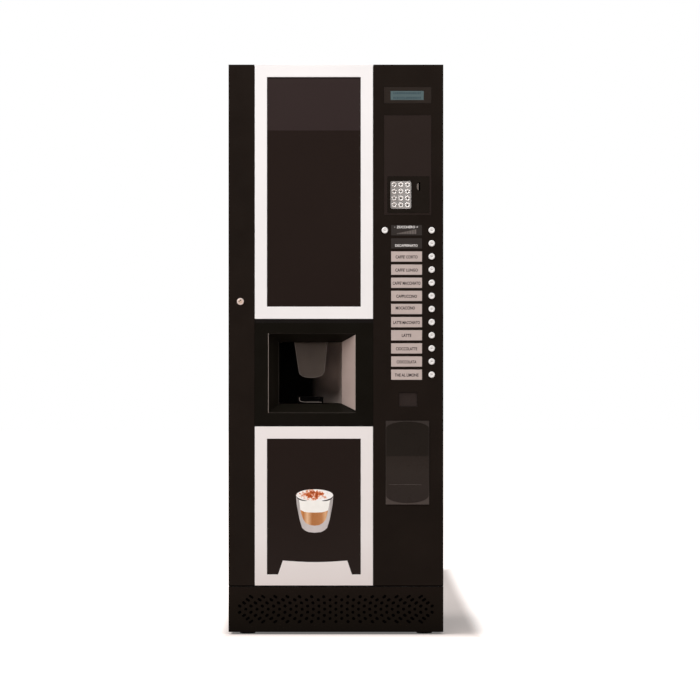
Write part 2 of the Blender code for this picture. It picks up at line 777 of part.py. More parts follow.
def build_hinges():
    """Top and bottom hinge brackets: a plate on the cabinet with an upright pin for the door."""
    plate_x = (hinge_x + HINGE_PIN_RADIUS - HINGE_PLATE_WIDTH + GAP, hinge_x + HINGE_PIN_RADIUS)
    plate_y = (hinge_y - HINGE_PLATE_FRONT, hinge_y + HINGE_PLATE_BACK)
    top = (roof_top + GAP, HEIGHT)
    bottom = (PLINTH_TOP + GAP, PLINTH_TOP + GAP + HINGE_PLATE)
    for name, z, pin_end in (
        ("hinge_bracket_top", top, top[0] - HINGE_PIN_LENGTH),
        ("hinge_bracket_bottom", bottom, bottom[1] + HINGE_PIN_LENGTH),
    ):
        bracket = plate(name, [rounded(plate_x, plate_y, HINGE_PIN_RADIUS, 3)], z, LYING, PARTS)
        middle = (z[0] + z[1]) / 2
        pin = rod(name + "_pin", (hinge_x, hinge_y, middle), (hinge_x, hinge_y, pin_end), HINGE_PIN_RADIUS)
        weld_on(bracket, pin)
        finish(bracket, ZINC, 0.4, 0.9)


# Door


def badge_outline(inset):
    """The lower opening, with the badge plate rising from its bottom edge; inset shrinks the opening."""
    inner_x = grown(poster_x, -TRIM_BORDER - inset)
    inner_z = grown(lower_z, -TRIM_BORDER - inset)
    middle = (poster_x[0] + poster_x[1]) / 2 + BADGE_OFFSET
    foot, head = BADGE_HALF_BOTTOM + inset, BADGE_HALF_TOP + inset
    top = lower_z[0] + TRIM_BORDER + BADGE_HEIGHT + inset
    dip = [
        (middle + head * (2 * step / BADGE_STEPS - 1), top - BADGE_DIP * math.sin(math.pi * step / BADGE_STEPS))
        for step in range(BADGE_STEPS + 1)
    ]
    base = [(inner_x[0], inner_z[0]), (middle - foot, inner_z[0])]
    rest = [(middle + foot, inner_z[0]), (inner_x[1], inner_z[0])]
    return base + dip + rest + [(inner_x[1], inner_z[1]), (inner_x[0], inner_z[1])]


def build_posters():
    """Silver trim frames round two glossy dark panels."""
    trim_y = (trim_front, fascia_back)
    panel_y = (fascia_front - TRIM_PROUD / 3, fascia_back)
    opening = rectangle(grown(poster_x, -TRIM_BORDER), grown(upper_z, -TRIM_BORDER))
    upper = plate("upper_frame", [rectangle(poster_x, upper_z), opening], trim_y, STANDING, PARTS)
    finish(upper, SILVER, 0.35)
    inner = TRIM_BORDER + PANEL_FIT
    panel = block("upper_panel", grown(poster_x, -inner), panel_y, grown(upper_z, -inner), PARTS)
    finish(panel, DARK_GLOSS, 0.08)
    lower = plate("lower_frame", [rectangle(poster_x, lower_z), badge_outline(0)], trim_y, STANDING, PARTS)
    finish(lower, SILVER, 0.35)
    panel = plate("lower_panel", [badge_outline(PANEL_FIT)], panel_y, STANDING, PARTS)
    finish(panel, DARK_GLOSS, 0.08)


def stile_pockets():
    """Height spans of the hollow left stile, between the guides that carry the latch bar."""
    bottom = lock_z - STILE_POCKET_BELOW_LOCK
    for guide in GUIDES_FROM_LOCK:
        middle = lock_z + guide
        yield bottom, middle - GUIDE_HEIGHT / 2
        bottom = middle + GUIDE_HEIGHT / 2
    yield bottom, lock_z + STILE_POCKET_ABOVE_LOCK


def latch_span():
    """Bottom and top of the latch bar."""
    return lock_z - LATCH_BELOW_LOCK, lock_z + LATCH_ABOVE_LOCK


def latch_section():
    """Across and through spans of the latch bar."""
    x = (lock_x - LATCH_OUTER, lock_x - LATCH_OUTER + LATCH_WIDTH)
    y = (frame_back - LATCH_FROM_BACK - LATCH_THICKNESS, frame_back - LATCH_FROM_BACK)
    return x, y


def latch_travel():
    """How far the cam pin carries the bar in a quarter turn."""
    return 2 * CAM_RADIUS * math.sin(math.radians(45))


def build_door_frame():
    """The door's ladder frame: stiles and rails round the windows, with a hollow left stile."""
    inner_poster = grown(poster_x, -TRIM_BORDER - LEDGE)
    upper_window = rectangle(inner_poster, grown(upper_z, -TRIM_BORDER - LEDGE))
    lower_window_z = (lower_z[0] + TRIM_BORDER + LEDGE, lower_z[1] - TRIM_BORDER - LEDGE)
    lower_window = rectangle(inner_poster, lower_window_z)
    clear = BEVEL_WALL + 3 * PANEL_FIT
    bay_window = rectangle(grown(mouth_x, clear), grown(mouth_z, clear))
    button_x = [x for _name, x, _z in button_places()]
    rim_reach = BUTTON_RADIUS + BUTTON_RIM + BUTTON_FIT
    control_x = (
        min(poster_right + MIDDLE_STILE_EDGE, min(button_x) - rim_reach),
        max(RIGHT - RIGHT_STILE, max(button_x) + rim_reach),
    )
    flap_bottom = door_top - COIN_FLAP_DROP - COIN_FLAP_HEIGHT
    control_z = (flap_bottom - CONTROL_WINDOW_BELOW_FLAP, door_top - CONTROL_WINDOW_TOP)
    control_window = rectangle(control_x, control_z)
    outside = rectangle((LEFT, RIGHT), (door_bottom, door_top))
    windows = [upper_window, lower_window, bay_window, control_window]
    frame = plate("door_frame", [outside] + windows, (frame_front, frame_back), STANDING, PARTS)

    pocket_x = (LEFT + STILE_POCKET_EDGE, LEFT + STILE_POCKET_EDGE + STILE_POCKET_WIDTH)
    pocket_y = (frame_front + STILE_WALL, frame_back + OVERRUN)
    for number, pocket_z in enumerate(stile_pockets(), 1):
        cut(frame, block(f"stile_pocket_{number}", pocket_x, pocket_y, pocket_z))
    bar_x, bar_y = latch_section()
    bar_z = latch_span()
    run = (bar_z[0] - 2 * OVERRUN, bar_z[1] + latch_travel() + 2 * OVERRUN)
    cut(frame, block("latch_channel", grown(bar_x, LATCH_GUIDE_FIT), grown(bar_y, LATCH_GUIDE_FIT), run))

    barrel_hole = LOCK_BARREL_RADIUS + PIN_FIT
    hole_end = frame_front + STILE_WALL + OVERRUN
    hole_start = frame_front - OVERRUN
    cut(frame, rod("lock_hole", (lock_x, hole_start, lock_z), (lock_x, hole_end, lock_z), barrel_hole))
    pin_hole = HINGE_PIN_RADIUS + PIN_FIT
    depth = HINGE_PIN_LENGTH + OVERRUN
    for name, low, high in (
        ("top_pin_hole", door_top - depth, door_top + OVERRUN),
        ("bottom_pin_hole", door_bottom - OVERRUN, door_bottom + depth),
    ):
        cut(frame, rod(name, (hinge_x, hinge_y, low), (hinge_x, hinge_y, high), pin_hole))
    finish(frame, BLACK_PAINT, 0.5)
    return frame


def build_left_fascia():
    """The narrow black panel down the lock side."""
    x = (LEFT, poster_left - SEAM / 2)
    panel = block("left_fascia", x, (fascia_front, fascia_back), (door_bottom, door_top), PARTS)
    start, end = (lock_x, fascia_front - OVERRUN, lock_z), (lock_x, fascia_back + OVERRUN, lock_z)
    cut(panel, rod("lock_fascia_hole", start, end, LOCK_BARREL_RADIUS + PIN_FIT))
    finish(panel, BLACK_PAINT, 0.45)


def build_lock():
    """Round lock housing, and the plug with its cam and drive pin, a quarter turn from locked."""
    back = fascia_front + LOCK_REACH
    face = fascia_front - GAP
    housing = turned(
        "lock_housing",
        [
            (LOCK_PLUG_RADIUS + PIN_FIT, LOCK_FLANGE),
            (LOCK_FLANGE_RADIUS * 0.92, LOCK_FLANGE),
            (LOCK_FLANGE_RADIUS, LOCK_FLANGE * 0.6),
            (LOCK_FLANGE_RADIUS, 0),
            (LOCK_BARREL_RADIUS, 0),
            (LOCK_BARREL_RADIUS, face - back),
            (LOCK_PLUG_RADIUS + PIN_FIT, face - back),
        ],
        (lock_x, face, lock_z),
        facing=STANDING,
    )
    finish(housing, STEEL, 0.2, 1.0)

    plug_front = face - LOCK_FLANGE * 0.8
    cam_front = back + GAP
    bar_x, bar_y = latch_section()
    plug = rod(
        "lock_plug",
        (lock_x, plug_front, lock_z),
        (lock_x, cam_front + CAM_THICKNESS / 2, lock_z),
        LOCK_PLUG_RADIUS,
        20,
        PARTS,
    )
    lean = math.radians(-45)
    pin_x = lock_x + CAM_RADIUS * math.cos(lean)
    pin_z = lock_z + CAM_RADIUS * math.sin(lean)
    hub = arc((0, 0), LOCK_PLUG_RADIUS, 90, 270, 8)
    end = arc((CAM_RADIUS, 0), CAM_HALF_WIDTH, -90, 90, 6)
    cam = [
        (lock_x + u * math.cos(lean) - v * math.sin(lean), lock_z + u * math.sin(lean) + v * math.cos(lean))
        for u, v in hub + end
    ]
    weld_on(plug, plate("lock_cam", [cam], (cam_front, cam_front + CAM_THICKNESS)))
    pin_start = cam_front + CAM_THICKNESS / 2
    pin_end = bar_y[1] + LATCH_THICKNESS / 2
    weld_on(plug, rod("cam_pin", (pin_x, pin_start, pin_z), (pin_x, pin_end, pin_z), CAM_PIN_RADIUS, 12))
    keyway_x = (lock_x - KEYWAY_WIDTH / 2, lock_x + KEYWAY_WIDTH / 2)
    keyway_y = (plug_front - OVERRUN, plug_front + KEYWAY_DEPTH)
    keyway_z = (lock_z - KEYWAY_HEIGHT / 2, lock_z + KEYWAY_HEIGHT / 2)
    cut(plug, block("keyway", keyway_x, keyway_y, keyway_z))
    finish(plug, (0.70, 0.60, 0.42), 0.25, 1.0)
    carry("lock_axis", (lock_x, plug_front, lock_z), plug)


def build_latch():
    """The sliding latch bar: a flat bar with two upturned hooks and a slotted tab for the cam pin."""
    bar_x, bar_y = latch_section()
    pin_drop = CAM_RADIUS * math.sin(math.radians(45))
    near = lock_x + CAM_RADIUS * math.cos(math.radians(45))
    far = lock_x + CAM_RADIUS
    slot_reach = CAM_PIN_RADIUS + CAM_SLOT_FIT
    slot_x = (near - slot_reach, far + slot_reach)
    tab_z = (lock_z - pin_drop - LATCH_TAB_HALF, lock_z - pin_drop + LATCH_TAB_HALF)
    tab_right = slot_x[1] + HOOK_THICKNESS
    bar_z = latch_span()
    outline = [
        (bar_x[0], bar_z[0]),
        (bar_x[1], bar_z[0]),
        (bar_x[1], tab_z[0]),
        (tab_right, tab_z[0]),
        (tab_right, tab_z[1]),
        (bar_x[1], tab_z[1]),
        (bar_x[1], bar_z[1]),
        (bar_x[0], bar_z[1]),
    ]
    slot = rounded(slot_x, grown((lock_z - pin_drop,) * 2, slot_reach), slot_reach * 0.98, 3)
    bar = plate("latch_bar", [outline, slot], bar_y, STANDING, PARTS)
    for number, drop in enumerate(HOOKS_FROM_LOCK, 1):
        bottom = lock_z + drop
        arm_top = bottom + HOOK_ARM
        end = bar_y[1] + HOOK_REACH
        hook = [
            (bar_y[0] + LATCH_THICKNESS / 2, bottom),
            (end, bottom),
            (end, arm_top + HOOK_UPTURN),
            (end - HOOK_TIP, arm_top + HOOK_UPTURN),
            (end - HOOK_TIP, arm_top),
            (bar_y[0] + LATCH_THICKNESS / 2, arm_top),
        ]
        weld_on(bar, plate(f"hook_{number}", [hook], (bar_x[0], bar_x[0] + HOOK_THICKNESS), SIDEWAYS))
    finish(bar, ZINC, 0.4, 0.9)
    carry("latch_line", (lock_x, bar_y[0], lock_z), bar)


# Delivery bay


def build_bay_fascia():
    """The black panel round the delivery bay, drawn back into a four-sided funnel."""
    face = block("bay_fascia", poster_x, (fascia_front, fascia_back), bay_z, PARTS)
    skin = funnel_block(
        "funnel_skin",
        grown(mouth_x, BEVEL_WALL),
        grown(mouth_z, BEVEL_WALL),
        grown(throat_x, BEVEL_WALL),
        grown(throat_z, BEVEL_WALL),
        (fascia_front + FASCIA / 2, throat_y),
    )
    lead = OVERRUN / BEVEL_DEPTH

    def past(mouth, throat, share):
        """The opening's span a little in front of its mouth or behind its throat."""
        return tuple(m + (t - m) * share for m, t in zip(mouth, throat))

    hollow = funnel_block(
        "funnel_hollow",
        past(mouth_x, throat_x, -lead),
        past(mouth_z, throat_z, -lead),
        past(mouth_x, throat_x, 1 + lead),
        past(mouth_z, throat_z, 1 + lead),
        (fascia_front - OVERRUN, throat_y + OVERRUN),
    )
    weld_on(face, skin)
    cut(face, hollow)
    x, y = delivery_axis()
    hole_z = grown(throat_z, FLAP_PIN_REACH + OVERRUN)
    cut(face, rod("flap_pin_holes", (x, y, hole_z[0]), (x, y, hole_z[1]), FLAP_PIN + PIN_FIT, 12))
    finish(face, BLACK_PLASTIC, 0.3)


def niche_plan(wall, front):
    """Plan of the niche: straight sides and a half-round back; wall grows it outwards."""
    x = grown(throat_x, wall)
    middle, half = (x[0] + x[1]) / 2, (x[1] - x[0]) / 2
    shoulder = throat_y + NICHE_STRAIGHT
    reach = NICHE_DEPTH - NICHE_STRAIGHT + wall
    back = [
        (
            middle + half * math.cos(math.pi * step / NICHE_ARC_STEPS),
            shoulder + reach * math.sin(math.pi * step / NICHE_ARC_STEPS),
        )
        for step in range(NICHE_ARC_STEPS + 1)
    ]
    return [(x[0], front), (x[1], front)] + back


def build_bay_niche():
    """The moulded niche behind the funnel, where the cup stands."""
    rim_front = throat_y + GAP
    shell_z = grown(throat_z, NICHE_WALL)
    niche = plate("bay_niche", [niche_plan(NICHE_WALL, rim_front)], shell_z, LYING, PARTS)
    rim_y = (rim_front, rim_front + NICHE_WALL)
    weld_on(niche, block("niche_rim", grown(throat_x, NICHE_RIM), rim_y, grown(throat_z, NICHE_RIM)))
    cut(niche, plate("niche_hollow", [niche_plan(0, throat_y - OVERRUN)], throat_z, LYING))
    finish(niche, BLACK_PLASTIC, 0.3)


def build_nozzle_cover():
    """The tongue-shaped cover over the drink nozzles, hung from the niche's ceiling."""
    top = throat_z[1] - GAP

    def tongue(inset, upper):
        """Outline of the cover, narrower at the foot, with round lower corners."""
        foot = NOZZLE_HALF_BOTTOM - inset
        head = NOZZLE_HALF_TOP - inset
        bottom = top - NOZZLE_HEIGHT + inset
        corner = NOZZLE_CORNER - inset
        left = arc((throat_middle - foot + corner, bottom + corner), corner, 188, 270, 4)
        right = arc((throat_middle + foot - corner, bottom + corner), corner, -90, -8, 4)
        return [(throat_middle - head, upper)] + left + right + [(throat_middle + head, upper)]

    front = throat_y + NOZZLE_SETBACK
    cover = plate("nozzle_cover", [tongue(0, top)], (front, front + NOZZLE_DEPTH), STANDING, PARTS)
    hollow_y = (front + NOZZLE_WALL, front + NOZZLE_DEPTH + OVERRUN)
    cut(cover, plate("nozzle_hollow", [tongue(NOZZLE_WALL, top - NOZZLE_WALL)], hollow_y))
    middle_y = front + NOZZLE_DEPTH / 2
    for number, place_x in enumerate((-1, 0, 1), 1):
        x = throat_middle + place_x * SPOUT_PITCH
        start = (x, middle_y, top - NOZZLE_WALL / 2)
        end = (x, middle_y, top - SPOUT_LENGTH)
        weld_on(cover, rod(f"spout_{number}", start, end, SPOUT_RADIUS, 12))
        bore_top = (x, middle_y, top + OVERRUN)
        bore_end = (x, middle_y, top - SPOUT_LENGTH - OVERRUN)
        cut(cover, rod(f"spout_bore_{number}", bore_top, bore_end, SPOUT_BORE, 8))
    finish(cover, GREY_PLASTIC, 0.35)


def build_drip_stand():
    """The cup stand on the niche's floor, with drip slots across its top."""
    x = (throat_middle - STAND_HALF, throat_middle + STAND_HALF)
    y = (throat_y + STAND_SETBACK, throat_y + STAND_SETBACK + STAND_DEPTH)
    z = (throat_z[0] + GAP, throat_z[0] + GAP + STAND_HEIGHT)
    stand = plate("drip_stand", [rounded(x, y, 0.012, 4)], z, LYING, PARTS)
    slot_x = grown(x, -0.010)
    slot_z = (z[1] - STAND_SLOT_DEPTH, z[1] + OVERRUN)
    for index in range(STAND_RIB_COUNT):
        start = y[0] + 0.009 + index * STAND_RIB_PITCH
        cut(stand, block(f"drip_slot_{index + 1}", slot_x, (start, start + STAND_RIB_GAP), slot_z))
    finish(stand, BLACK_PLASTIC, 0.4)


def delivery_axis():
    """X and Y of the delivery flap's upright axis."""
    return throat_x[0] + FLAP_AXIS_FROM_EDGE, throat_y - FLAP_AXIS_FORWARD


def build_delivery_door():
    """A clear flap over the niche, on two small pins at its left edge."""
    x, y = delivery_axis()
    span_x = (x, throat_x[1] - FLAP_CLEAR)
    span_y = (y - FLAP_THICKNESS / 2, y + FLAP_THICKNESS / 2)
    span_z = grown(throat_z, -FLAP_CLEAR)
    flap = block("delivery_door", span_x, span_y, span_z, PARTS)
    weld_on(flap, rod("flap_barrel", (x, y, span_z[0]), (x, y, span_z[1]), FLAP_BARREL, 12))
    pins_z = grown(throat_z, FLAP_PIN_REACH)
    weld_on(flap, rod("flap_pins", (x, y, pins_z[0]), (x, y, pins_z[1]), FLAP_PIN, 12))
    finish(flap, CLEAR, 0.05, alpha=0.3)
    carry("delivery_axis", (x, y, span_z[0]), flap)


# Control column


def column_x(from_left, from_right):
    """A span inside the control column, from distances to its two edges."""
    return (poster_right + from_left, RIGHT - from_right)


def set_in_module(name, x, z, front, rim_front, back):
    """A module whose face fills an opening and whose body bears on the back of the panel round it."""
    module = block(name, grown(x, -PANEL_FIT), (front, back), grown(z, -PANEL_FIT), PARTS)
    rim_y = (rim_front, rim_front + RIM_THICKNESS)
    weld_on(module, block(name + "_rim", grown(x, RIM), rim_y, grown(z, RIM)))
    return module


def display_opening():
    """Spans of the display's opening."""
    top = door_top - DISPLAY_DROP
    return column_x(DISPLAY_LEFT, DISPLAY_RIGHT), (top - DISPLAY_HEIGHT, top)


def payment_opening():
    """Spans of the payment panel's opening."""
    top = door_top - PAYMENT_DROP
    return column_x(DISPLAY_LEFT, DISPLAY_RIGHT), (top - PAYMENT_HEIGHT, top)


def terminal_opening():
    """Spans of the keypad terminal's opening in the payment panel."""
    (left, right), (bottom, _top) = payment_opening()
    z = (bottom + TERMINAL_BOTTOM, bottom + TERMINAL_BOTTOM + TERMINAL_HEIGHT)
    return (left + TERMINAL_LEFT, right - TERMINAL_RIGHT), z


def coin_slot_place():
    """Middle of the coin slot."""
    (_left, right), (bottom, _top) = terminal_opening()
    return right - COIN_SLOT_FROM_RIGHT, bottom + COIN_SLOT_FROM_BOTTOM


def button_places():
    """Name and centre of every button: one at the left of the first row, the rest down the right."""
    top = door_top - BUTTON_DROP
    yield "button_sugar_less", poster_right + BUTTON_FROM_LEFT, top
    for row in range(BUTTON_ROWS):
        name = "button_sugar_more" if row == 0 else f"button_drink_{row}"
        yield name, RIGHT - BUTTON_FROM_RIGHT, top - row * BUTTON_PITCH


def coin_flap_opening():
    """Spans of the coin return opening."""
    left = poster_right + COIN_FLAP_LEFT
    top = door_top - COIN_FLAP_DROP
    return (left, left + COIN_FLAP_WIDTH), (top - COIN_FLAP_HEIGHT, top)


def build_control_fascia():
    """The wide black panel on the hinge side, cut for the controls, with a recess for each label."""
    x = (poster_right + SEAM / 2, RIGHT)
    holes = [rectangle(*display_opening()), rectangle(*payment_opening()), rectangle(*coin_flap_opening())]
    for _name, centre_x, centre_z in button_places():
        ring = arc((centre_x, centre_z), BUTTON_RADIUS + BUTTON_FIT, 0, 360 - 360 / 16, 15)
        holes.append(ring)
    outlines = [rectangle(x, (door_bottom, door_top))] + holes
    panel = plate("control_fascia", outlines, (fascia_front, fascia_back), STANDING, PARTS)
    labels = []
    label_x = column_x(LABEL_LEFT, LABEL_RIGHT)
    for row in range(BUTTON_ROWS):
        middle = door_top - BUTTON_DROP - row * BUTTON_PITCH
        labels.append(rectangle(label_x, grown((middle, middle), LABEL_HEIGHT / 2)))
    recess_y = (fascia_front - OVERRUN, fascia_front + LABEL_RECESS)
    cut(panel, plate("label_recesses", labels, recess_y))
    finish(panel, BLACK_PAINT, 0.45)


def build_display():
    """The text display: a bezel with a slightly sunk screen."""
    x, z = display_opening()
    back = frame_front + DISPLAY_BODY
    display = set_in_module("display_module", x, z, fascia_front - PANEL_FIT, frame_front, back)
    screen_x = (x[0] + SCREEN_LEFT, x[1] - SCREEN_RIGHT)
    screen_z = (z[0] + SCREEN_BOTTOM, z[1] - SCREEN_TOP)
    screen_y = (fascia_front - OVERRUN, fascia_front - PANEL_FIT + SCREEN_RECESS)
    cut(display, block("screen_recess", screen_x, screen_y, screen_z))
    finish(display, GREY_PLASTIC, 0.35)


def build_payment():
    """The payment panel, the terminal set into it, its key mat and the coin mechanism behind."""
    x, z = payment_opening()
    rim_back = frame_front + RIM_THICKNESS
    panel = set_in_module("payment_panel", x, z, fascia_front - PANEL_FIT, frame_front, rim_back)
    hole_x, hole_z = terminal_opening()
    through = (fascia_front - OVERRUN, rim_back + OVERRUN)
    cut(panel, block("terminal_hole", hole_x, through, hole_z))
    finish(panel, GREY_PLASTIC, 0.4)

    terminal_front = fascia_front - PANEL_FIT - TERMINAL_PROUD
    back = terminal_front + TERMINAL_DEPTH
    terminal = set_in_module("keypad_terminal", hole_x, hole_z, terminal_front, rim_back + GAP, back)
    mat_x = (hole_x[0] + MAT_LEFT, hole_x[0] + MAT_LEFT + MAT_WIDTH)
    mat_z = (hole_z[0] + MAT_BOTTOM, hole_z[0] + MAT_BOTTOM + MAT_HEIGHT)
    mat_back = terminal_front + MAT_THICKNESS - MAT_PROUD
    recess = rounded(grown(mat_x, GAP), grown(mat_z, GAP), MAT_CORNER + GAP)
    cut(terminal, plate("mat_recess", [recess], (terminal_front - OVERRUN, mat_back + GAP)))
    slot_x, slot_z = coin_slot_place()
    coin_x = grown((slot_x, slot_x), COIN_SLOT_WIDTH / 2)
    coin_z = grown((slot_z, slot_z), COIN_SLOT_HEIGHT / 2)
    cut(terminal, block("coin_slot", coin_x, (terminal_front - OVERRUN, back + OVERRUN), coin_z))
    finish(terminal, BLACK_PLASTIC, 0.4)

    mat_front = terminal_front - MAT_PROUD
    mat = plate("keypad_mat", [rounded(mat_x, mat_z, MAT_CORNER)], (mat_front, mat_back), STANDING, PARTS)
    middle_x = (mat_x[0] + mat_x[1]) / 2
    middle_z = (mat_z[0] + mat_z[1]) / 2
    keys = []
    for column in (-1, 0, 1):
        for row in (-1.5, -0.5, 0.5, 1.5):
            centre = (middle_x + column * KEY_PITCH, middle_z + row * KEY_PITCH)
            keys.append(arc(centre, KEY_RADIUS, 0, 330, 11))
    weld_on(mat, plate("keys", keys, (mat_front - KEY_PROUD, mat_front + MAT_PROUD)))
    finish(mat, STEEL, 0.25, 0.9)

    build_coin_mech(coin_x, coin_z, back)


def build_coin_mech(coin_x, coin_z, terminal_back):
    """The coin mechanism: a box with a coin track down through it and a chute to the return cup."""
    mech_x = column_x(COIN_MECH_LEFT, COIN_MECH_RIGHT)
    front = terminal_back + GAP
    back = front + COIN_MECH_DEPTH
    top = coin_z[1] + COIN_MECH_ABOVE
    mech_z = (top - COIN_MECH_BELOW, top)
    mech = block("coin_mech", mech_x, (front, back), mech_z, PARTS)
    middle_z = (mech_z[0] + mech_z[1]) / 2
    ear_x = (poster_right + MIDDLE_STILE_EDGE - COIN_MECH_EAR / 2, mech_x[0] + OVERRUN)
    ear_y = (frame_back + GAP, frame_back + GAP + SHEET)
    ear_z = grown((middle_z, middle_z), COIN_MECH_EAR_HEIGHT)
    weld_on(mech, block("coin_mech_ear", ear_x, ear_y, ear_z))

    track_y = (front + COIN_TRACK_FRONT, front + COIN_TRACK_BACK)
    track_x = grown(((coin_x[0] + coin_x[1]) / 2,) * 2, COIN_TRACK_WIDTH / 2)
    chute_x = (track_x[1] - CHUTE_WIDTH, track_x[1])
    cup_top = door_top - COIN_FLAP_DROP + COIN_CUP_ABOVE
    chute_z = (cup_top + GAP, mech_z[0] + OVERRUN)
    weld_on(mech, block("chute", grown(chute_x, CHUTE_WALL), grown(track_y, CHUTE_WALL), chute_z))
    cut(
        mech,
        block("coin_entry", coin_x, (front - OVERRUN, track_y[0] + OVERRUN), coin_z),
        block("coin_track", track_x, track_y, (mech_z[0] - OVERRUN, coin_z[1])),
        block("chute_hollow", chute_x, track_y, (cup_top - OVERRUN, mech_z[0] + CHUTE_WIDTH / 2)),
    )
    finish(mech, GREY_PLASTIC, 0.5)


def build_buttons():
    """Thirteen round push buttons, each held behind the fascia by its own rim."""
    for name, x, z in button_places():
        rim_front = frame_front
        rim_back = rim_front + BUTTON_RIM_THICKNESS
        stem_end = rim_back + BUTTON_STEM_LENGTH
        profile = [
            (0, -FRONT),
            (BUTTON_RADIUS - BUTTON_EDGE, -FRONT),
            (BUTTON_RADIUS, -FRONT - BUTTON_EDGE),
            (BUTTON_RADIUS, -rim_front),
            (BUTTON_RADIUS + BUTTON_RIM, -rim_front),
            (BUTTON_RADIUS + BUTTON_RIM, -rim_back),
            (BUTTON_STEM_RADIUS, -rim_back),
            (BUTTON_STEM_RADIUS, -stem_end),
            (0, -stem_end),
        ]
        profile = [(radius, height + FRONT) for radius, height in profile]
        button = turned(name, profile, (x, FRONT, z), sides=BUTTON_SIDES, facing=STANDING)
        finish(button, WHITE_PLASTIC, 0.3)


def coin_flap_axis():
    """Y and Z of the coin flap's axis."""
    top = door_top - COIN_FLAP_DROP
    return fascia_front + COIN_FLAP_AXIS_BACK, top - COIN_FLAP_AXIS_DROP


def build_coin_return():
    """The coin return cup behind the fascia, and the flap that swings inward over it."""
    (left, right), (bottom, top) = coin_flap_opening()
    inside_x = grown((left, right), COIN_CUP_SIDE)
    inside_z = (bottom - COIN_CUP_BELOW + COIN_CUP_WALL, top + COIN_CUP_ABOVE - COIN_CUP_WALL)
    outside_z = (bottom - COIN_CUP_BELOW, top + COIN_CUP_ABOVE)
    cup_y = (frame_front, frame_front + COIN_CUP_DEPTH)
    slot_x, _slot_z = coin_slot_place()
    chute_x = (slot_x + COIN_TRACK_WIDTH / 2 - CHUTE_WIDTH, slot_x + COIN_TRACK_WIDTH / 2)
    outside_x = (inside_x[0] - COIN_CUP_WALL, max(inside_x[1], chute_x[1]) + COIN_CUP_WALL)
    cup = block("coin_cup", outside_x, cup_y, outside_z, PARTS)
    hollow_y = (cup_y[0] - OVERRUN, cup_y[1] - COIN_CUP_WALL)
    cut(cup, block("coin_cup_hollow", inside_x, hollow_y, inside_z))
    terminal_front = fascia_front - PANEL_FIT - TERMINAL_PROUD
    mech_front = terminal_front + TERMINAL_DEPTH + GAP
    chute_y = (mech_front + COIN_TRACK_FRONT, mech_front + COIN_TRACK_BACK)
    mouth_high = (inside_z[1] - OVERRUN, outside_z[1] + OVERRUN)
    cut(cup, block("coin_cup_mouth", chute_x, chute_y, mouth_high))
    catch_x = (inside_x[0] + COIN_CUP_WALL / 2, chute_x[1])
    cut(cup, block("coin_cup_catch", catch_x, (chute_y[0], hollow_y[1] - GAP), grown(inside_z, -GAP)))
    axis_y, axis_z = coin_flap_axis()
    pin_ends = (outside_x[0] + COIN_CUP_WALL / 4, inside_x[1] + COIN_CUP_WALL * 3 / 4)
    bore_ends = (outside_x[0] - OVERRUN, inside_x[1] + COIN_CUP_WALL)
    bore = rod(
        "coin_pin_holes",
        (bore_ends[0], axis_y, axis_z),
        (bore_ends[1], axis_y, axis_z),
        COIN_FLAP_PIN + PIN_FIT,
        12,
    )
    cut(cup, bore)
    finish(cup, BLACK_PLASTIC, 0.5)

    flap_x = grown((left, right), -PANEL_FIT)
    flap_y = (frame_front + PANEL_FIT, frame_front + PANEL_FIT + COIN_FLAP_THICKNESS)
    flap = block("coin_flap", flap_x, flap_y, grown((bottom, top), -PANEL_FIT), PARTS)
    lug_y = (flap_y[0] + COIN_FLAP_THICKNESS / 2, axis_y + COIN_FLAP_PIN * 1.4)
    lug_z = (axis_z - COIN_FLAP_PIN * 1.4, axis_z + COIN_FLAP_PIN * 1.4)
    for number, edge in enumerate((flap_x[0], flap_x[1] - COIN_FLAP_LUG), 1):
        weld_on(flap, block(f"flap_lug_{number}", (edge, edge + COIN_FLAP_LUG), lug_y, lug_z))
    start, end = (pin_ends[0], axis_y, axis_z), (flap_x[0] + COIN_FLAP_LUG / 2, axis_y, axis_z)
    weld_on(flap, rod("coin_pin_left", start, end, COIN_FLAP_PIN, 12))
    start, end = (flap_x[1] - COIN_FLAP_LUG / 2, axis_y, axis_z), (pin_ends[1], axis_y, axis_z)
    weld_on(flap, rod("coin_pin_right", start, end, COIN_FLAP_PIN, 12))
    finish(flap, GREY_PLASTIC, 0.35)
    carry("coin_flap_axis", (left, axis_y, axis_z), flap)


def build_info_holder():
    """The slim holder for the information card, with a bowed lower edge."""
    left = poster_right + INFO_LEFT
    x = (left, left + INFO_WIDTH)
    top = door_top - INFO_DROP
    z = (top - INFO_HEIGHT, top)
    corner = INFO_CORNER
    shares = [step / 8 for step in range(9)]
    lower = [
        (x[0] + corner + (INFO_WIDTH - 2 * corner) * share, z[0] + INFO_ARC * (1 - math.sin(math.pi * share)))
        for share in shares
    ]
    left_side = arc((x[0] + corner, z[0] + INFO_ARC + corner), corner, 180, 270, 4)[:-1]
    right_side = arc((x[1] - corner, z[0] + INFO_ARC + corner), corner, 270, 360, 4)[1:]
    upper = arc((x[1] - corner / 3, z[1] - corner / 3), corner / 3, 0, 90, 3)
    upper += arc((x[0] + corner / 3, z[1] - corner / 3), corner / 3, 90, 180, 3)
    y = (fascia_front - GAP - INFO_THICKNESS, fascia_front - GAP)
    holder = plate("info_holder", [left_side + lower + right_side + upper], y, STANDING, PARTS)
    finish(holder, (0.03, 0.03, 0.03), 0.2)


# Works


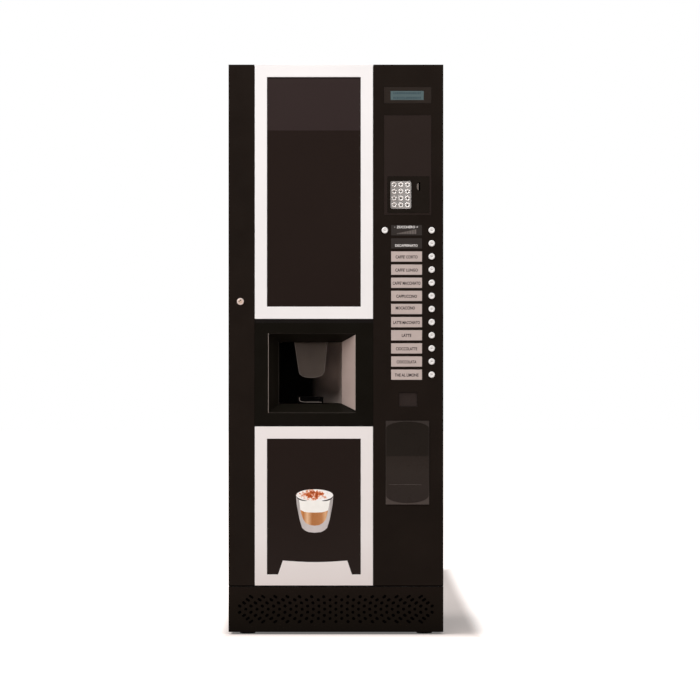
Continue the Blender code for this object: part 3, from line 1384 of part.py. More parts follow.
def build_shelf():
    """One folded sheet: a bulkhead up the middle of the cabinet and the shelf on top of it."""
    front = bulkhead_y - SHELF_REACH
    bottom = PLINTH_TOP + GAP
    outline = [
        (bulkhead_y, bottom),
        (bulkhead_y + SHEET, bottom),
        (bulkhead_y + SHEET, shelf_z),
        (front, shelf_z),
        (front, shelf_z - SHEET),
        (bulkhead_y, shelf_z - SHEET),
    ]
    width = grown((LEFT, RIGHT), -SHEET - GAP)
    shelf = plate("component_shelf", [outline], width, SIDEWAYS, PARTS)
    x, y = magazine_centre()
    spindle_top = shelf_z + MAGAZINE_LIFT - GAP
    spindle = rod("spindle", (x, y, shelf_z - SHEET / 2), (x, y, spindle_top), SPINDLE_RADIUS)
    weld_on(shelf, spindle)
    finish(shelf, ZINC, 0.4, 0.8)


def magazine_centre():
    """X and Y of the cup magazine's axis."""
    return LEFT + MAGAZINE_FROM_SIDE, bulkhead_y - MAGAZINE_FORWARD


def build_cup_magazine():
    """A round magazine of cup tubes, turning on the shelf's spindle."""
    x, y = magazine_centre()
    bottom = shelf_z + MAGAZINE_LIFT
    span = (bottom, bottom + MAGAZINE_HEIGHT)
    ring = arc((x, y), MAGAZINE_RADIUS, 0, 360 - 360 / 30, 29)
    magazine = plate("cup_magazine", [ring], span, LYING, PARTS)
    tubes = []
    for tube in range(MAGAZINE_TUBES):
        turn = 2 * math.pi * tube / MAGAZINE_TUBES
        centre = (x + MAGAZINE_TUBE_CIRCLE * math.cos(turn), y + MAGAZINE_TUBE_CIRCLE * math.sin(turn))
        tubes.append(arc(centre, MAGAZINE_TUBE_RADIUS, 0, 360 - 360 / 16, 15))
    cut(magazine, plate("cup_tubes", tubes, (bottom + MAGAZINE_FLOOR, span[1] + OVERRUN), LYING))
    finish(magazine, (0.70, 0.71, 0.72), 0.4)
    carry("magazine_axis", (x, y, bottom), magazine)


def build_canisters():
    """Powder canisters in a row on the shelf, each with a filling mouth and a spout at the front."""
    for number in range(CANISTER_COUNT):
        left = LEFT + CANISTER_FROM_SIDE + number * CANISTER_PITCH
        x = (left, left + CANISTER_WIDTH)
        y = (works_back - CANISTER_LENGTH, works_back)
        z = (shelf_z + GAP, shelf_z + GAP + CANISTER_HEIGHT)
        name = f"powder_canister_{number + 1}"
        canister = block(name, x, y, z, PARTS)
        middle = (x[0] + x[1]) / 2
        height = z[0] + CANISTER_SPOUT_HEIGHT
        start, end = (middle, y[0] - CANISTER_SPOUT_LENGTH, height), (middle, y[0] + OVERRUN, height)
        weld_on(canister, rod(name + "_spout", start, end, CANISTER_SPOUT_RADIUS))
        mouth_x = grown((middle, middle), CANISTER_MOUTH / 2)
        mouth_y = (y[0] + CANISTER_MOUTH, y[1] - CANISTER_MOUTH)
        bore_start = (middle, start[1] - OVERRUN, height)
        bore_end = (middle, y[0] + 2 * CANISTER_WALL, height)
        inside = [grown(span, -CANISTER_WALL) for span in (x, y, z)]
        cut(
            canister,
            block(name + "_hollow", *inside),
            block(name + "_mouth", mouth_x, mouth_y, (z[1] - 2 * CANISTER_WALL, z[1] + OVERRUN)),
            rod(name + "_bore", bore_start, bore_end, CANISTER_SPOUT_RADIUS - CANISTER_WALL, 12),
        )
        finish(canister, (0.75, 0.76, 0.78), 0.35)


def build_coffee():
    """Grinder on the shelf with the bean hopper on its neck, and the brewing unit below."""
    x = RIGHT - GRINDER_FROM_SIDE
    y = works_back - GRINDER_FORWARD
    bottom = shelf_z + GAP
    grinder = [
        (0, GRINDER_HEIGHT),
        (GRINDER_NECK, GRINDER_HEIGHT),
        (GRINDER_NECK, GRINDER_BODY),
        (GRINDER_RADIUS * 0.85, GRINDER_BODY),
        (GRINDER_RADIUS, GRINDER_BODY * 0.8),
        (GRINDER_RADIUS, 0),
        (0, 0),
    ]
    finish(turned("coffee_grinder", grinder, (x, y, bottom)), GREY_PLASTIC, 0.4)
    top = HOPPER_HEIGHT
    neck = GRINDER_NECK
    hopper = [
        (neck - HOPPER_WALL, 0),
        (neck - HOPPER_WALL, top * 0.12),
        (HOPPER_RADIUS - HOPPER_WALL, top * 0.45),
        (HOPPER_RADIUS - HOPPER_WALL, top),
        (HOPPER_RADIUS, top),
        (HOPPER_RADIUS, top * 0.45 - HOPPER_WALL),
        (neck, top * 0.12 - HOPPER_WALL),
        (neck, 0),
    ]
    place_z = bottom + GRINDER_HEIGHT + GAP
    finish(turned("bean_hopper", hopper, (x, y, place_z)), CLEAR, 0.15, alpha=0.5)

    left = RIGHT - BREW_FROM_SIDE - BREW_WIDTH / 2
    top_z = shelf_z - BREW_DROP
    unit_x = (left, left + BREW_WIDTH)
    unit_y = (works_back - BREW_DEPTH, works_back)
    brewer = block("brew_unit", unit_x, unit_y, (top_z - BREW_HEIGHT, top_z), PARTS)
    middle = (left + BREW_WIDTH / 2, unit_y[0])
    chamber_top = top_z - (BREW_HEIGHT - BREW_CHAMBER_HEIGHT) / 2
    chamber = rod(
        "brew_chamber",
        (*middle, chamber_top - BREW_CHAMBER_HEIGHT),
        (*middle, chamber_top),
        BREW_CHAMBER_RADIUS,
    )
    weld_on(brewer, chamber)
    finish(brewer, (0.10, 0.10, 0.11), 0.4)


def build_mixers():
    """A back plate with one whipping bowl under each canister."""
    left = LEFT + MIXER_FROM_SIDE
    top = shelf_z - MIXER_DROP
    plate_y = (works_back - MIXER_PLATE, works_back)
    bank = block("mixer_bank", (left, left + MIXER_WIDTH), plate_y, (top - MIXER_HEIGHT, top), PARTS)
    height = top - MIXER_HEIGHT / 2
    for number in range(CANISTER_COUNT):
        x = left + (number + 0.5) * MIXER_WIDTH / CANISTER_COUNT
        start, end = (x, plate_y[0] - MIXER_BOWL_LENGTH, height), (x, plate_y[0] + OVERRUN, height)
        weld_on(bank, rod(f"whipping_bowl_{number + 1}", start, end, MIXER_BOWL_RADIUS))
    finish(bank, (0.80, 0.80, 0.78), 0.35)


def build_boiler():
    """The upright boiler on its bracket."""
    x = LEFT + BOILER_FROM_SIDE + BOILER_RADIUS
    y = works_back - BOILER_STANDOFF
    top = shelf_z - BOILER_DROP
    boiler = rod("boiler", (x, y, top - BOILER_HEIGHT), (x, y, top), BOILER_RADIUS, 24, PARTS)
    bracket_x = grown((x, x), BOILER_RADIUS / 2)
    bracket_z = (top - BOILER_HEIGHT + BOILER_BRACKET, top - BOILER_BRACKET)
    weld_on(boiler, block("boiler_bracket", bracket_x, (y, works_back), bracket_z))
    finish(boiler, (0.60, 0.38, 0.22), 0.3, 1.0)


def build_waste_bin():
    """The open-topped waste bin on the plinth."""
    left = LEFT + BIN_FROM_SIDE
    x = (left, left + BIN_WIDTH)
    y = (works_back - BIN_DEPTH, works_back)
    z = (PLINTH_TOP + GAP, PLINTH_TOP + GAP + BIN_HEIGHT)
    waste_bin = block("waste_bin", x, y, z, PARTS)
    hollow_z = (z[0] + BIN_WALL, z[1] + OVERRUN)
    cut(waste_bin, block("bin_hollow", grown(x, -BIN_WALL), grown(y, -BIN_WALL), hollow_z))
    finish(waste_bin, (0.05, 0.05, 0.055), 0.6)


def build_control_box():
    """The box of electronics, with its front edges chamfered."""
    left = LEFT + CONTROL_BOX_FROM_SIDE
    top = shelf_z - CONTROL_BOX_DROP
    front = works_back - CONTROL_BOX_DEPTH
    chamfer = CONTROL_BOX_CHAMFER
    outline = [
        (left, works_back),
        (left, front + chamfer),
        (left + chamfer, front),
        (left + CONTROL_BOX_WIDTH - chamfer, front),
        (left + CONTROL_BOX_WIDTH, front + chamfer),
        (left + CONTROL_BOX_WIDTH, works_back),
    ]
    box = plate("control_box", [outline], (top - CONTROL_BOX_HEIGHT, top), LYING, PARTS)
    finish(box, ZINC, 0.4, 0.8)


def main():
    """Clears the scene and builds the machine from the floor up, then the door from back to front."""
    for old in list(bpy.data.objects):
        bpy.data.objects.remove(old, do_unlink=True)
    bpy.context.scene.collection.children.link(PARTS)
    bpy.context.scene.collection.children.link(CUTTERS)
    build_feet()
    build_base_pan()
    build_kick_grille()
    build_cabinet()
    build_hinges()
    build_shelf()
    build_cup_magazine()
    build_canisters()
    build_coffee()
    build_mixers()
    build_boiler()
    build_waste_bin()
    build_control_box()
    build_door_frame()
    build_left_fascia()
    build_lock()
    build_latch()
    build_posters()
    build_bay_fascia()
    build_bay_niche()
    build_nozzle_cover()
    build_drip_stand()
    build_delivery_door()
    build_control_fascia()
    build_display()
    build_payment()
    build_buttons()
    build_coin_return()
    build_info_holder()


main()
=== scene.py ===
import json
import math

import bmesh
import bpy
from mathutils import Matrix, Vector

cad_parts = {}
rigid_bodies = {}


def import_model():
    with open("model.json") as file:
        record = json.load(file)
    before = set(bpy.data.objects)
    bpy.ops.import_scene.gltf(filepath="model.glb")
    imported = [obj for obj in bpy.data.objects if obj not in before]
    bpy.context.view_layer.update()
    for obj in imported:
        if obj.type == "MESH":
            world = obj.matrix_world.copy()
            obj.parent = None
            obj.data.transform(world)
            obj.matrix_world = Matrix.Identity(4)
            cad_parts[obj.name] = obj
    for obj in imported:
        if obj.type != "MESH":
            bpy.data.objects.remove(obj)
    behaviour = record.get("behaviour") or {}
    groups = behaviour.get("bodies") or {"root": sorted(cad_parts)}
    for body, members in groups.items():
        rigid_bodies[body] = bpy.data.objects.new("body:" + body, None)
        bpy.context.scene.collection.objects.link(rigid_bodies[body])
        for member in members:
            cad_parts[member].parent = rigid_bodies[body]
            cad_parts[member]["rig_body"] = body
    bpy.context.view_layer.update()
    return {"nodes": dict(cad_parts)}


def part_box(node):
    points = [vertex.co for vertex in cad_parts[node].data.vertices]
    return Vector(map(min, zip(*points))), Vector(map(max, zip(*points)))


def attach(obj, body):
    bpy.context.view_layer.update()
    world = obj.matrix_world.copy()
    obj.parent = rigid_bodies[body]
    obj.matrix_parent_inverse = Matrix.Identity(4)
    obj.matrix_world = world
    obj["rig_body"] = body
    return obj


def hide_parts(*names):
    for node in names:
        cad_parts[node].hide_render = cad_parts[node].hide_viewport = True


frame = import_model()


# Feet
# Four moulded rubber pads, each on a threaded stud that screws up into the plinth.
# Their rims are turned a little, and floor dust has dulled them.


def tone(red, green, blue):
    """A display colour, 0 to 255, as the linear colour that a shader takes."""
    steps = [c / 255 for c in (red, green, blue)]
    return tuple(s / 12.92 if s < 0.04 else ((s + 0.055) / 1.055) ** 2.4 for s in steps) + (1.0,)


def feed(tree, target, inputs):
    """Gives a shader node's inputs their values, or links from other nodes' outputs."""
    for name, value in inputs.items():
        if isinstance(value, bpy.types.NodeSocket):
            tree.links.new(value, target.inputs[name])
        else:
            target.inputs[name].default_value = value


def add(tree, kind, inputs, **settings):
    """A new shader node with its settings and inputs. What comes back is its outputs."""
    made = tree.nodes.new("ShaderNode" + kind)
    for name, value in settings.items():
        setattr(made, name, value)
    feed(tree, made, inputs)
    return made.outputs


def new_material(name):
    """A new material, its node tree and its shader."""
    made = bpy.data.materials.new(name)
    made.use_nodes = True
    return made, made.node_tree, made.node_tree.nodes["Principled BSDF"]


def recolour(material, colour, factor, blend_type="MIX"):
    """Blends a colour, or a node's output, over the base colour that the material has so far."""
    tree = material.node_tree
    base = tree.nodes["Principled BSDF"].inputs["Base Color"]
    blend = add(tree, "Mix", {"Factor": factor, "A": base.links[0].from_socket, "B": colour},
                data_type="RGBA", blend_type=blend_type)
    tree.links.new(blend["Result"], base)


def surface(name, colour, rough, metal=0.0, shift=0.15, patch=0.08, grain=0.0009, bump=0.2,
            shine=0.5, worn=0.0):
    """A shader whose colour and gloss drift over the surface, above a fine grain.
    patch and grain are the sizes of a drift and of a bump, and worn lightens the edges."""
    made, tree, shader = new_material(name)
    made.diffuse_color = colour
    where = add(tree, "TexCoord", {})["Object"]

    def noise(size, detail, low, high):
        cloud = add(tree, "TexNoise", {"Vector": where, "Scale": 1 / size, "Detail": detail})
        return add(tree, "MapRange", {"Value": cloud["Fac"], "From Min": 0.32, "From Max": 0.68,
                                      "To Min": low, "To Max": high})["Result"]

    drift = add(tree, "Mix", {"Factor": noise(patch, 5, 0, 1),
                              "A": [c * (1 - shift) for c in colour[:3]] + [1],
                              "B": [min(1, c * (1 + shift)) for c in colour[:3]] + [1]},
                data_type="RGBA")
    relief = add(tree, "Bump", {"Strength": bump, "Distance": grain / 4,
                                "Height": noise(grain, 2, 0, 1)})
    feed(tree, shader, {"Base Color": drift["Result"], "Metallic": metal, "Specular IOR Level": shine,
                        "Roughness": noise(patch / 3, 6, rough * 0.85, min(1, rough * 1.15)),
                        "Normal": relief["Normal"]})
    if worn:
        turned = add(tree, "Bevel", {"Radius": 0.0012}, samples=4)
        flat = add(tree, "NewGeometry", {})
        alike = add(tree, "VectorMath", {0: turned["Normal"], 1: flat["Normal"]},
                    operation="DOT_PRODUCT")
        edge = add(tree, "MapRange", {"Value": alike["Value"], "From Min": 0.99, "From Max": 0.85,
                                      "To Max": worn})
        recolour(made, [min(1, c * 2.2 + 0.02) for c in colour[:3]] + [1], edge["Result"])
    return made


def pick(piece):
    """Makes the piece active and the only one selected."""
    bpy.ops.object.select_all(action="DESELECT")
    bpy.context.view_layer.objects.active = piece
    piece.select_set(True)


def new_piece(name, data):
    """A new object in the scene, active and alone selected."""
    piece = bpy.data.objects.new(name, data)
    bpy.context.scene.collection.objects.link(piece)
    pick(piece)
    return piece


def settle(piece, material, body, smooth=40):
    """The finishing steps that every piece shares: its shading, material and body."""
    pick(piece)
    bpy.ops.object.transform_apply(location=True, rotation=True, scale=True)
    bpy.ops.object.shade_smooth_by_angle(angle=math.radians(smooth))
    even = piece.modifiers.new("even", "WEIGHTED_NORMAL")
    even.keep_sharp = True
    bpy.ops.object.modifier_apply(modifier="even")
    piece.data.materials.clear()
    piece.data.materials.append(material)
    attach(piece, body)


def round_edges(piece, radius, segments=2):
    """Rounds the edges where the piece turns by more than 32 degrees, with an applied bevel."""
    bevel = piece.modifiers.new("edges", "BEVEL")
    bevel.width = radius
    bevel.segments = segments
    bevel.limit_method = "ANGLE"
    bevel.angle_limit = math.radians(32)
    bpy.context.view_layer.objects.active = piece
    bpy.ops.object.modifier_apply(modifier="edges")


def weld(distance, merge_flat=False):
    """Welds the active piece's vertices, merges its level faces if asked, and turns them outward."""
    bpy.ops.object.mode_set(mode="EDIT")
    bpy.ops.mesh.select_all(action="SELECT")
    bpy.ops.mesh.remove_doubles(threshold=distance)
    if merge_flat:
        bpy.ops.mesh.dissolve_limited(angle_limit=math.radians(1))
    bpy.ops.mesh.normals_make_consistent(inside=False)
    bpy.ops.object.mode_set(mode="OBJECT")


def cad_copy(node, name):
    """A new mesh piece with a CAD node's shape, its triangles merged into whole faces."""
    piece = new_piece(name, frame["nodes"][node].data.copy())
    bpy.ops.mesh.customdata_custom_splitnormals_clear()
    weld(0.00001, merge_flat=True)
    return piece


def softened(node, material, radius, segments=2, fit=None):
    """A copy of a CAD node's mesh with its sharp edges rounded, shown in the node's place.
    A fit, where there is one, first moves each of the copy's corners."""
    piece = cad_copy(node, node + "_skin")
    if fit:
        for vertex in piece.data.vertices:
            fit(vertex.co)
    round_edges(piece, radius, segments)
    settle(piece, material, frame["nodes"][node]["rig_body"])
    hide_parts(node)


rubber = surface("rubber", tone(44, 42, 40), 0.75, shift=0.25, patch=0.02, grain=0.0006, bump=0.3)
for corner in ("front_left", "front_right", "rear_left", "rear_right"):
    softened("foot_" + corner, rubber, 0.0012)


# Plinth pan
# A zinc-plated steel tray that carries the machine and takes the feet's studs.
# The plating shows faint spangle, and the cut edges are brighter.

zinc = surface("zinc_sheet", tone(158, 160, 160), 0.42, metal=0.85, shift=0.07, patch=0.07,
               grain=0.003, bump=0.03, worn=0.4)
softened("base_pan", zinc, 0.0006)


# Kick plate
# A black powder-coated steel apron with nine rows of air holes, round in the middle row and
# drawn out into slanted slots toward the corners. It is folded back along both sides.

black_paint = surface("black_paint", (0.0122, 0.0083, 0.0063, 1), 0.5, shift=0.10, patch=0.12,
                      grain=0.0007, bump=0.2, shine=0.035, worn=0.2)


def sheet_with_holes(name, outlines, front, thickness, rim):
    """A flat sheet in the x and z plane, cut by every outline after the first. front is its y."""
    curve = bpy.data.curves.new(name, "CURVE")
    curve.dimensions = "2D"
    curve.fill_mode = "BOTH"
    curve.extrude = thickness / 2 - rim
    curve.bevel_depth = rim
    curve.bevel_resolution = 1
    curve.offset = -rim
    for outline in outlines:
        line = curve.splines.new("POLY")
        line.points.add(len(outline) - 1)
        for point, (x, z) in zip(line.points, outline):
            point.co = (x, z, 0, 1)
        line.use_cyclic_u = True
    new_piece(name, curve)
    bpy.ops.object.convert(target="MESH")
    weld(0.000002)
    piece = bpy.context.active_object
    piece.rotation_euler = (math.radians(90), 0, 0)
    piece.location = (0, front + thickness / 2, 0)
    bpy.ops.object.transform_apply(location=True, rotation=True, scale=True)
    return piece


def obround(x, z, radius, half_length, slant, steps=9):
    """The outline of a slot with round ends; with no half length it is a circle."""
    points = []
    for end in (0, 1):
        for step in range(steps + 1):
            turn = math.pi * (step / steps + end) - math.pi / 2
            along = half_length * (1 - 2 * end) + radius * math.cos(turn)
            aside = radius * math.sin(turn)
            points.append((x + along * math.cos(slant) - aside * math.sin(slant),
                           z + along * math.sin(slant) + aside * math.cos(slant)))
    return points[:-1] if half_length == 0 else points


def brick(name, low, high, radius=0.0, segments=2):
    """A block between two corners, with rounded edges when a radius is given."""
    middle = [(a + b) / 2 for a, b in zip(low, high)]
    bpy.ops.mesh.primitive_cube_add(size=1, location=middle)
    piece = bpy.context.active_object
    piece.name = name
    piece.scale = [b - a for a, b in zip(low, high)]
    bpy.ops.object.transform_apply(location=True, rotation=True, scale=True)
    if radius:
        round_edges(piece, radius, segments)
    return piece


def join(piece, *others):
    """Joins the others' meshes into the piece."""
    pick(piece)
    for other in others:
        other.select_set(True)
    bpy.ops.object.join()


def coordinates(tree):
    """Where each point of the piece lies, as the node outputs X, Y and Z."""
    return add(tree, "SeparateXYZ", {"Vector": tree.nodes["Texture Coordinate"].outputs["Object"]})


def ramp(tree, value, stops):
    """A node's output turned into colours: stops of (0 to 1, colour)."""
    made = tree.nodes.new("ShaderNodeValToRGB")
    feed(tree, made, {"Fac": value})
    points = made.color_ramp.elements
    points[0].position, points[0].color = stops[0]
    points[1].position, points[1].color = stops[-1]
    for position, colour in stops[1:-1]:
        points.new(position).color = colour
    return made.outputs["Color"]


def across(material, axis, low, high, stops):
    """Recolours a material by place: stops of (0 to 1 along the axis, display colour)."""
    tree = material.node_tree
    along = add(tree, "MapRange", {"Value": coordinates(tree)[axis], "From Min": low,
                                   "From Max": high})["Result"]
    recolour(material, ramp(tree, along, [(stop, tone(*colour)) for stop, colour in stops]), 0.8)


plate_low, plate_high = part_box("kick_grille")
sheet, rim, fold_width, corner_radius = 0.0016, 0.0004, 0.0012, 0.003
middle_row, row_gap, hole_gap, widening = 0.0812, 0.010, 0.0362, 0.0047
last_row, holes_each_side = 4, {0: 8, 1: 9, 2: 8, 3: 8, 4: 7}
farthest = hole_gap * 8
round_radius, slot_radius, half_slot, lean = 0.0049, 0.0037, 0.005, math.radians(34)
holes = []
for row in range(-last_row, last_row + 1):
    pitch = hole_gap * (1 + widening * row * row)
    first = 1 if row % 2 == 0 else 0.5
    steps = [(n + first) * side for n in range(holes_each_side[abs(row)]) for side in (-1, 1)]
    if row % 2 == 0:
        steps.append(0)
    for step in steps:
        x, z = step * pitch, middle_row + row_gap * row
        reach = min(1, abs(x) / farthest) * abs(row) / last_row
        slant = lean * (1 if x * row > 0 else -1) if x and row else 0
        radius = round_radius - (round_radius - slot_radius) * reach
        holes.append(obround(x, z, radius, half_slot * reach, slant))
edge = [(plate_low.x, plate_high.z)]
for side, start in ((-1, 180), (1, 270)):
    for turn in (math.radians(start + step * 15) for step in range(7)):
        edge.append((side * (plate_high.x - corner_radius) + corner_radius * math.cos(turn),
                     plate_low.z + corner_radius + corner_radius * math.sin(turn)))
edge.append((plate_high.x, plate_high.z))
kick_plate = sheet_with_holes("kick_plate", [edge] + holes, plate_low.y, sheet, rim)
for side in (-1, 1):
    sides = sorted((side * plate_high.x, side * (plate_high.x - fold_width)))
    fold = brick("fold", (sides[0], plate_low.y + sheet / 2, plate_low.z + rim / 2),
                 (sides[1], plate_high.y, plate_high.z - rim / 2), rim)
    join(kick_plate, fold)
# Painted shade: the plate's paint darkens toward its foot, where shade falls by the floor.
kick_paint_shaded = surface("kick_paint_shaded", (0.0092, 0.0062, 0.0044, 1), 0.5, shift=0.10, patch=0.12,
                     grain=0.0007, bump=0.2, shine=0.035, worn=0.2)
across(kick_paint_shaded, "Z", 0.008, 0.1534, [(0, (14, 10, 7)), (0.35, (21, 16, 11)), (1, (28, 21, 17))])
settle(kick_plate, kick_paint_shaded, "cabinet")
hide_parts("kick_grille")

# A thin foam filter lies behind the holes, its near-black painted shade for the holes' dark
# insides, and a rubber seal runs along the plate's top.
foam = surface("filter_foam", tone(5, 4, 4), 0.95, shift=0.5, patch=0.003, grain=0.0016,
               bump=0.8, shine=0.0)
settle(brick("air_filter", (-0.336, -0.3613, 0.021), (0.336, -0.3608, 0.139)), foam, "cabinet")
settle(brick("door_seal", (-0.3445, -0.3560, 0.1535), (0.3445, -0.3460, 0.1569)), foam, "cabinet")


# Cabinet shell
# Folded steel sides and a roof, powder coated black with a fine orange peel. The rear cover
# is plain zinc-plated sheet with louvres, the mains gland and the water inlet.

for panel in ("cabinet_left_side", "cabinet_right_side", "cabinet_roof"):
    softened(panel, black_paint, 0.0008)
softened("rear_cover", zinc, 0.0005)
for bracket in ("hinge_bracket_top", "hinge_bracket_bottom"):
    softened(bracket, zinc, 0.0005)
softened("component_shelf", zinc, 0.0006)


# Door core and left fascia
# The swing door is a deep dark moulding behind separate front pieces, each hooked on and
# lightly rounded at its edges. The left fascia is the same coated steel as the cabinet.

door_plastic = surface("door_core", tone(25, 21, 19), 0.6, shift=0.12, patch=0.1,
                       grain=0.0012, bump=0.2, shine=0.10)
softened("door_frame", door_plastic, 0.001)
top_edge, top_lift = 1.824, 0.0046


def raise_top(point):
    """Draws a front piece's top edge up level with the roof."""
    if point.z > top_edge:
        point.z += top_lift


softened("left_fascia", black_paint, 0.0008, fit=raise_top)


# Door lock
# A nickel-plated cam lock. Its bezel is turned and satin, and its plug is warmer brass with a
# keyway above the middle and a short stop slot at its left. A black block just inside each is
# painted shade for its depth.

satin = surface("satin_nickel", tone(232, 212, 203), 0.36, metal=0.35, shift=0.08, patch=0.004,
                grain=0.0003, bump=0.05)
brass = surface("brass", tone(230, 202, 180), 0.34, metal=0.35, shift=0.14, patch=0.003,
                grain=0.0003, bump=0.08, worn=0.3)


def shaped(name, shape):
    """A new piece made of a bmesh."""
    mesh = bpy.data.meshes.new(name)
    shape.to_mesh(mesh)
    shape.free()
    return new_piece(name, mesh)


def spun(name, profile, centre, steps=48):
    """A round piece about a line along y: the profile gives radius and depth, from front to back."""
    shape = bmesh.new()
    line = [shape.verts.new((radius, depth, 0)) for radius, depth in profile]
    edges = [shape.edges.new(pair) for pair in zip(line, line[1:])]
    bmesh.ops.spin(shape, geom=line + edges, cent=(0, 0, 0), axis=(0, 1, 0),
                   angle=2 * math.pi, steps=steps, use_duplicate=False)
    bmesh.ops.remove_doubles(shape, verts=shape.verts, dist=0.00001)
    bmesh.ops.recalc_face_normals(shape, faces=shape.faces)
    piece = shaped(name, shape)
    piece.location = centre
    return piece


def carve(piece, tool):
    """Cuts the tool out of the piece and removes it."""
    hole = piece.modifiers.new("hole", "BOOLEAN")
    hole.operation = "DIFFERENCE"
    hole.solver = "EXACT"
    hole.object = tool
    bpy.context.view_layer.objects.active = piece
    bpy.ops.object.modifier_apply(modifier="hole")
    bpy.data.objects.remove(tool)


housing_low, housing_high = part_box("lock_housing")
lock_x = (housing_low.x + housing_high.x) / 2
lock_z = (housing_low.z + housing_high.z) / 2
depth = housing_high.y - housing_low.y
bezel = spun("lock_bezel", [(0.0066, 0.0040), (0.0066, 0.0005), (0.0069, 0.0002), (0.0084, 0.0002),
                            (0.0098, 0.0004), (0.0107, 0.0010), (0.0110, 0.0018), (0.0110, 0.0027),
                            (0.0095, 0.0027), (0.0095, depth), (0.0066, depth), (0.0066, 0.0040)],
             (lock_x, housing_low.y, lock_z))
settle(bezel, satin, "door")
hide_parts("lock_housing")

# The plug's turned front is new, and its cam and drive pin are the CAD's own.
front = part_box("lock_plug")[0].y
slot_depth, spare, plug_depth, overlap = 0.0015, 0.0001, 0.017, 0.001
cut_start, fill_start = front - 0.001, front + 0.0004
plug = spun("lock_plug_face", [(0, 0), (0.0056, 0), (0.0061, 0.0002), (0.0064, 0.0007),
                               (0.0064, plug_depth), (0, plug_depth)], (lock_x, front, lock_z))
for name, x, z, width, height, tilt in (("keyway", 0.0004, 0.0031, 0.0029, 0.0050, 22),
                                        ("stop_slot", -0.0042, 0.0002, 0.0024, 0.0044, 12)):
    for part_name, y, grow in ((name + "_cut", cut_start, 0), (name, fill_start, spare)):
        part = brick(part_name, (-width / 2 - grow, y, -height / 2 - grow),
                     (width / 2 + grow, front + slot_depth + grow, height / 2 + grow))
        part.location = (lock_x + x, 0, lock_z + z)
        part.rotation_euler = (0, math.radians(tilt), 0)
        # The grown block is painted shade, a black fill just inside the slot.
        if grow:
            settle(part, foam, "lock")
        else:
            carve(plug, part)
cam = cad_copy("lock_plug", "lock_cam")
bpy.ops.object.mode_set(mode="EDIT")
bpy.ops.mesh.select_all(action="SELECT")
bpy.ops.mesh.bisect(plane_co=(0, front + plug_depth - overlap, 0), plane_no=(0, 1, 0),
                    clear_inner=True, use_fill=True)
bpy.ops.object.mode_set(mode="OBJECT")
join(plug, cam)
settle(plug, brass, "lock", smooth=30)
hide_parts("lock_plug")
softened("latch_bar", zinc, 0.0005)


# Poster frames
# Two satin silver mouldings clipped to the door. The lower one grows a badge plate up into
# its window, left bare here.

silver = surface("silver_trim", (0.84, 0.815, 0.81, 1), 0.45, shift=0.02, patch=0.3, grain=0.0008,
                 bump=0.06, shine=0.4)
# Painted shade: the lower frame takes a darker copy of the silver, darker still toward its foot.
shaded_silver = surface("shaded_silver", (0.80, 0.755, 0.74, 1), 0.45, shift=0.02, patch=0.3,
                     grain=0.0008, bump=0.06, shine=0.4)
across(shaded_silver, "Z", 0.1574, 0.6681, [(0, (219, 210, 207)), (0.3, (231, 225, 223)),
                                         (1, (235, 230, 228))])
head_edge, head_lift = 1.770, 0.0036
foot_edges, foot_drop = (0.180, 0.245), 0.0039
foot_sides = (-0.2300, 0.0900)
badge_x, badge_reach, badge_shift = -0.0708, 0.125, 0.0083


def raise_head(point):
    """Draws up the head of the upper frame's window, and the frame's top edge with it."""
    if head_edge < point.z <= top_edge:
        point.z += head_lift
    raise_top(point)


def badge_fit(point):
    """Sets the window's foot and the badge plate a few millimetres down and to the right."""
    if foot_edges[0] < point.z < foot_edges[1] and foot_sides[0] < point.x < foot_sides[1]:
        point.z -= foot_drop
        if abs(point.x - badge_x) < badge_reach:
            point.x += badge_shift


softened("upper_frame", silver, 0.0009, 3, raise_head)
softened("lower_frame", shaded_silver, 0.0009, 3, badge_fit)


# Poster sheets
# Glossy dark sheets that slide in behind the frames. The upper one is painted lighter above a
# level line, a painted reflection, and the lower one carries a drawing of a cappuccino.

gloss, painted_reflection = (surface(name, tone(37, 29, 26), 0.13, shift=0.04, patch=0.4, grain=0.004,
                           bump=0.01, shine=0.09) for name in ("dark_gloss", "painted_reflection_gloss"))
tree = painted_reflection.node_tree
# Painted reflection: the sheet is lighter above this level line.
seam_z = 1.619
above = add(tree, "Math", {0: coordinates(tree)["Z"], 1: seam_z}, operation="GREATER_THAN")
recolour(painted_reflection, (0.0145, 0.0105, 0.0115, 1), above["Value"], "ADD")
softened("upper_panel", painted_reflection, 0.0003)
softened("lower_panel", gloss, 0.0003, fit=badge_fit)


def slab(name, outline, back, thickness):
    """A thin flat piece in the x and z plane, as a print layer or a card. back is its back's y."""
    shape = bmesh.new()
    face = shape.faces.new([shape.verts.new((x, back, z)) for x, z in outline])
    face.normal_update()
    if face.normal.y > 0:
        face.normal_flip()
    grown = bmesh.ops.extrude_face_region(shape, geom=[face])
    moved = [v for v in grown["geom"] if isinstance(v, bmesh.types.BMVert)]
    bmesh.ops.translate(shape, verts=moved, vec=(0, -thickness, 0))
    bmesh.ops.recalc_face_normals(shape, faces=shape.faces)
    return shaped(name, shape)


def bow(x, z, half_width, half_height, start, end, steps=28):
    """Points along an ellipse, from one angle to the other, in degrees."""
    turns = [math.radians(start + (end - start) * n / steps) for n in range(steps + 1)]
    return [(x + half_width * math.cos(t), z + half_height * math.sin(t)) for t in turns]


def ink(name, colour, rough=0.35, **more):
    """A printed layer, a little uneven like screen printing."""
    return surface(name, colour, rough, **{"shift": 0.05, "patch": 0.012, "grain": 0.0004,
                                           "bump": 0.05, "shine": 0.3, **more})


def crescent(x, z, half_width, half_height, start, end, thickness):
    """A line along part of an ellipse that runs out to nothing at both its ends."""
    outer = bow(x, z, half_width, half_height, start, end, 16)
    inner = [(u, w - thickness * math.sin(math.pi * n / 16) ** 0.6) for n, (u, w) in enumerate(outer)]
    return outer + inner[-2:0:-1]


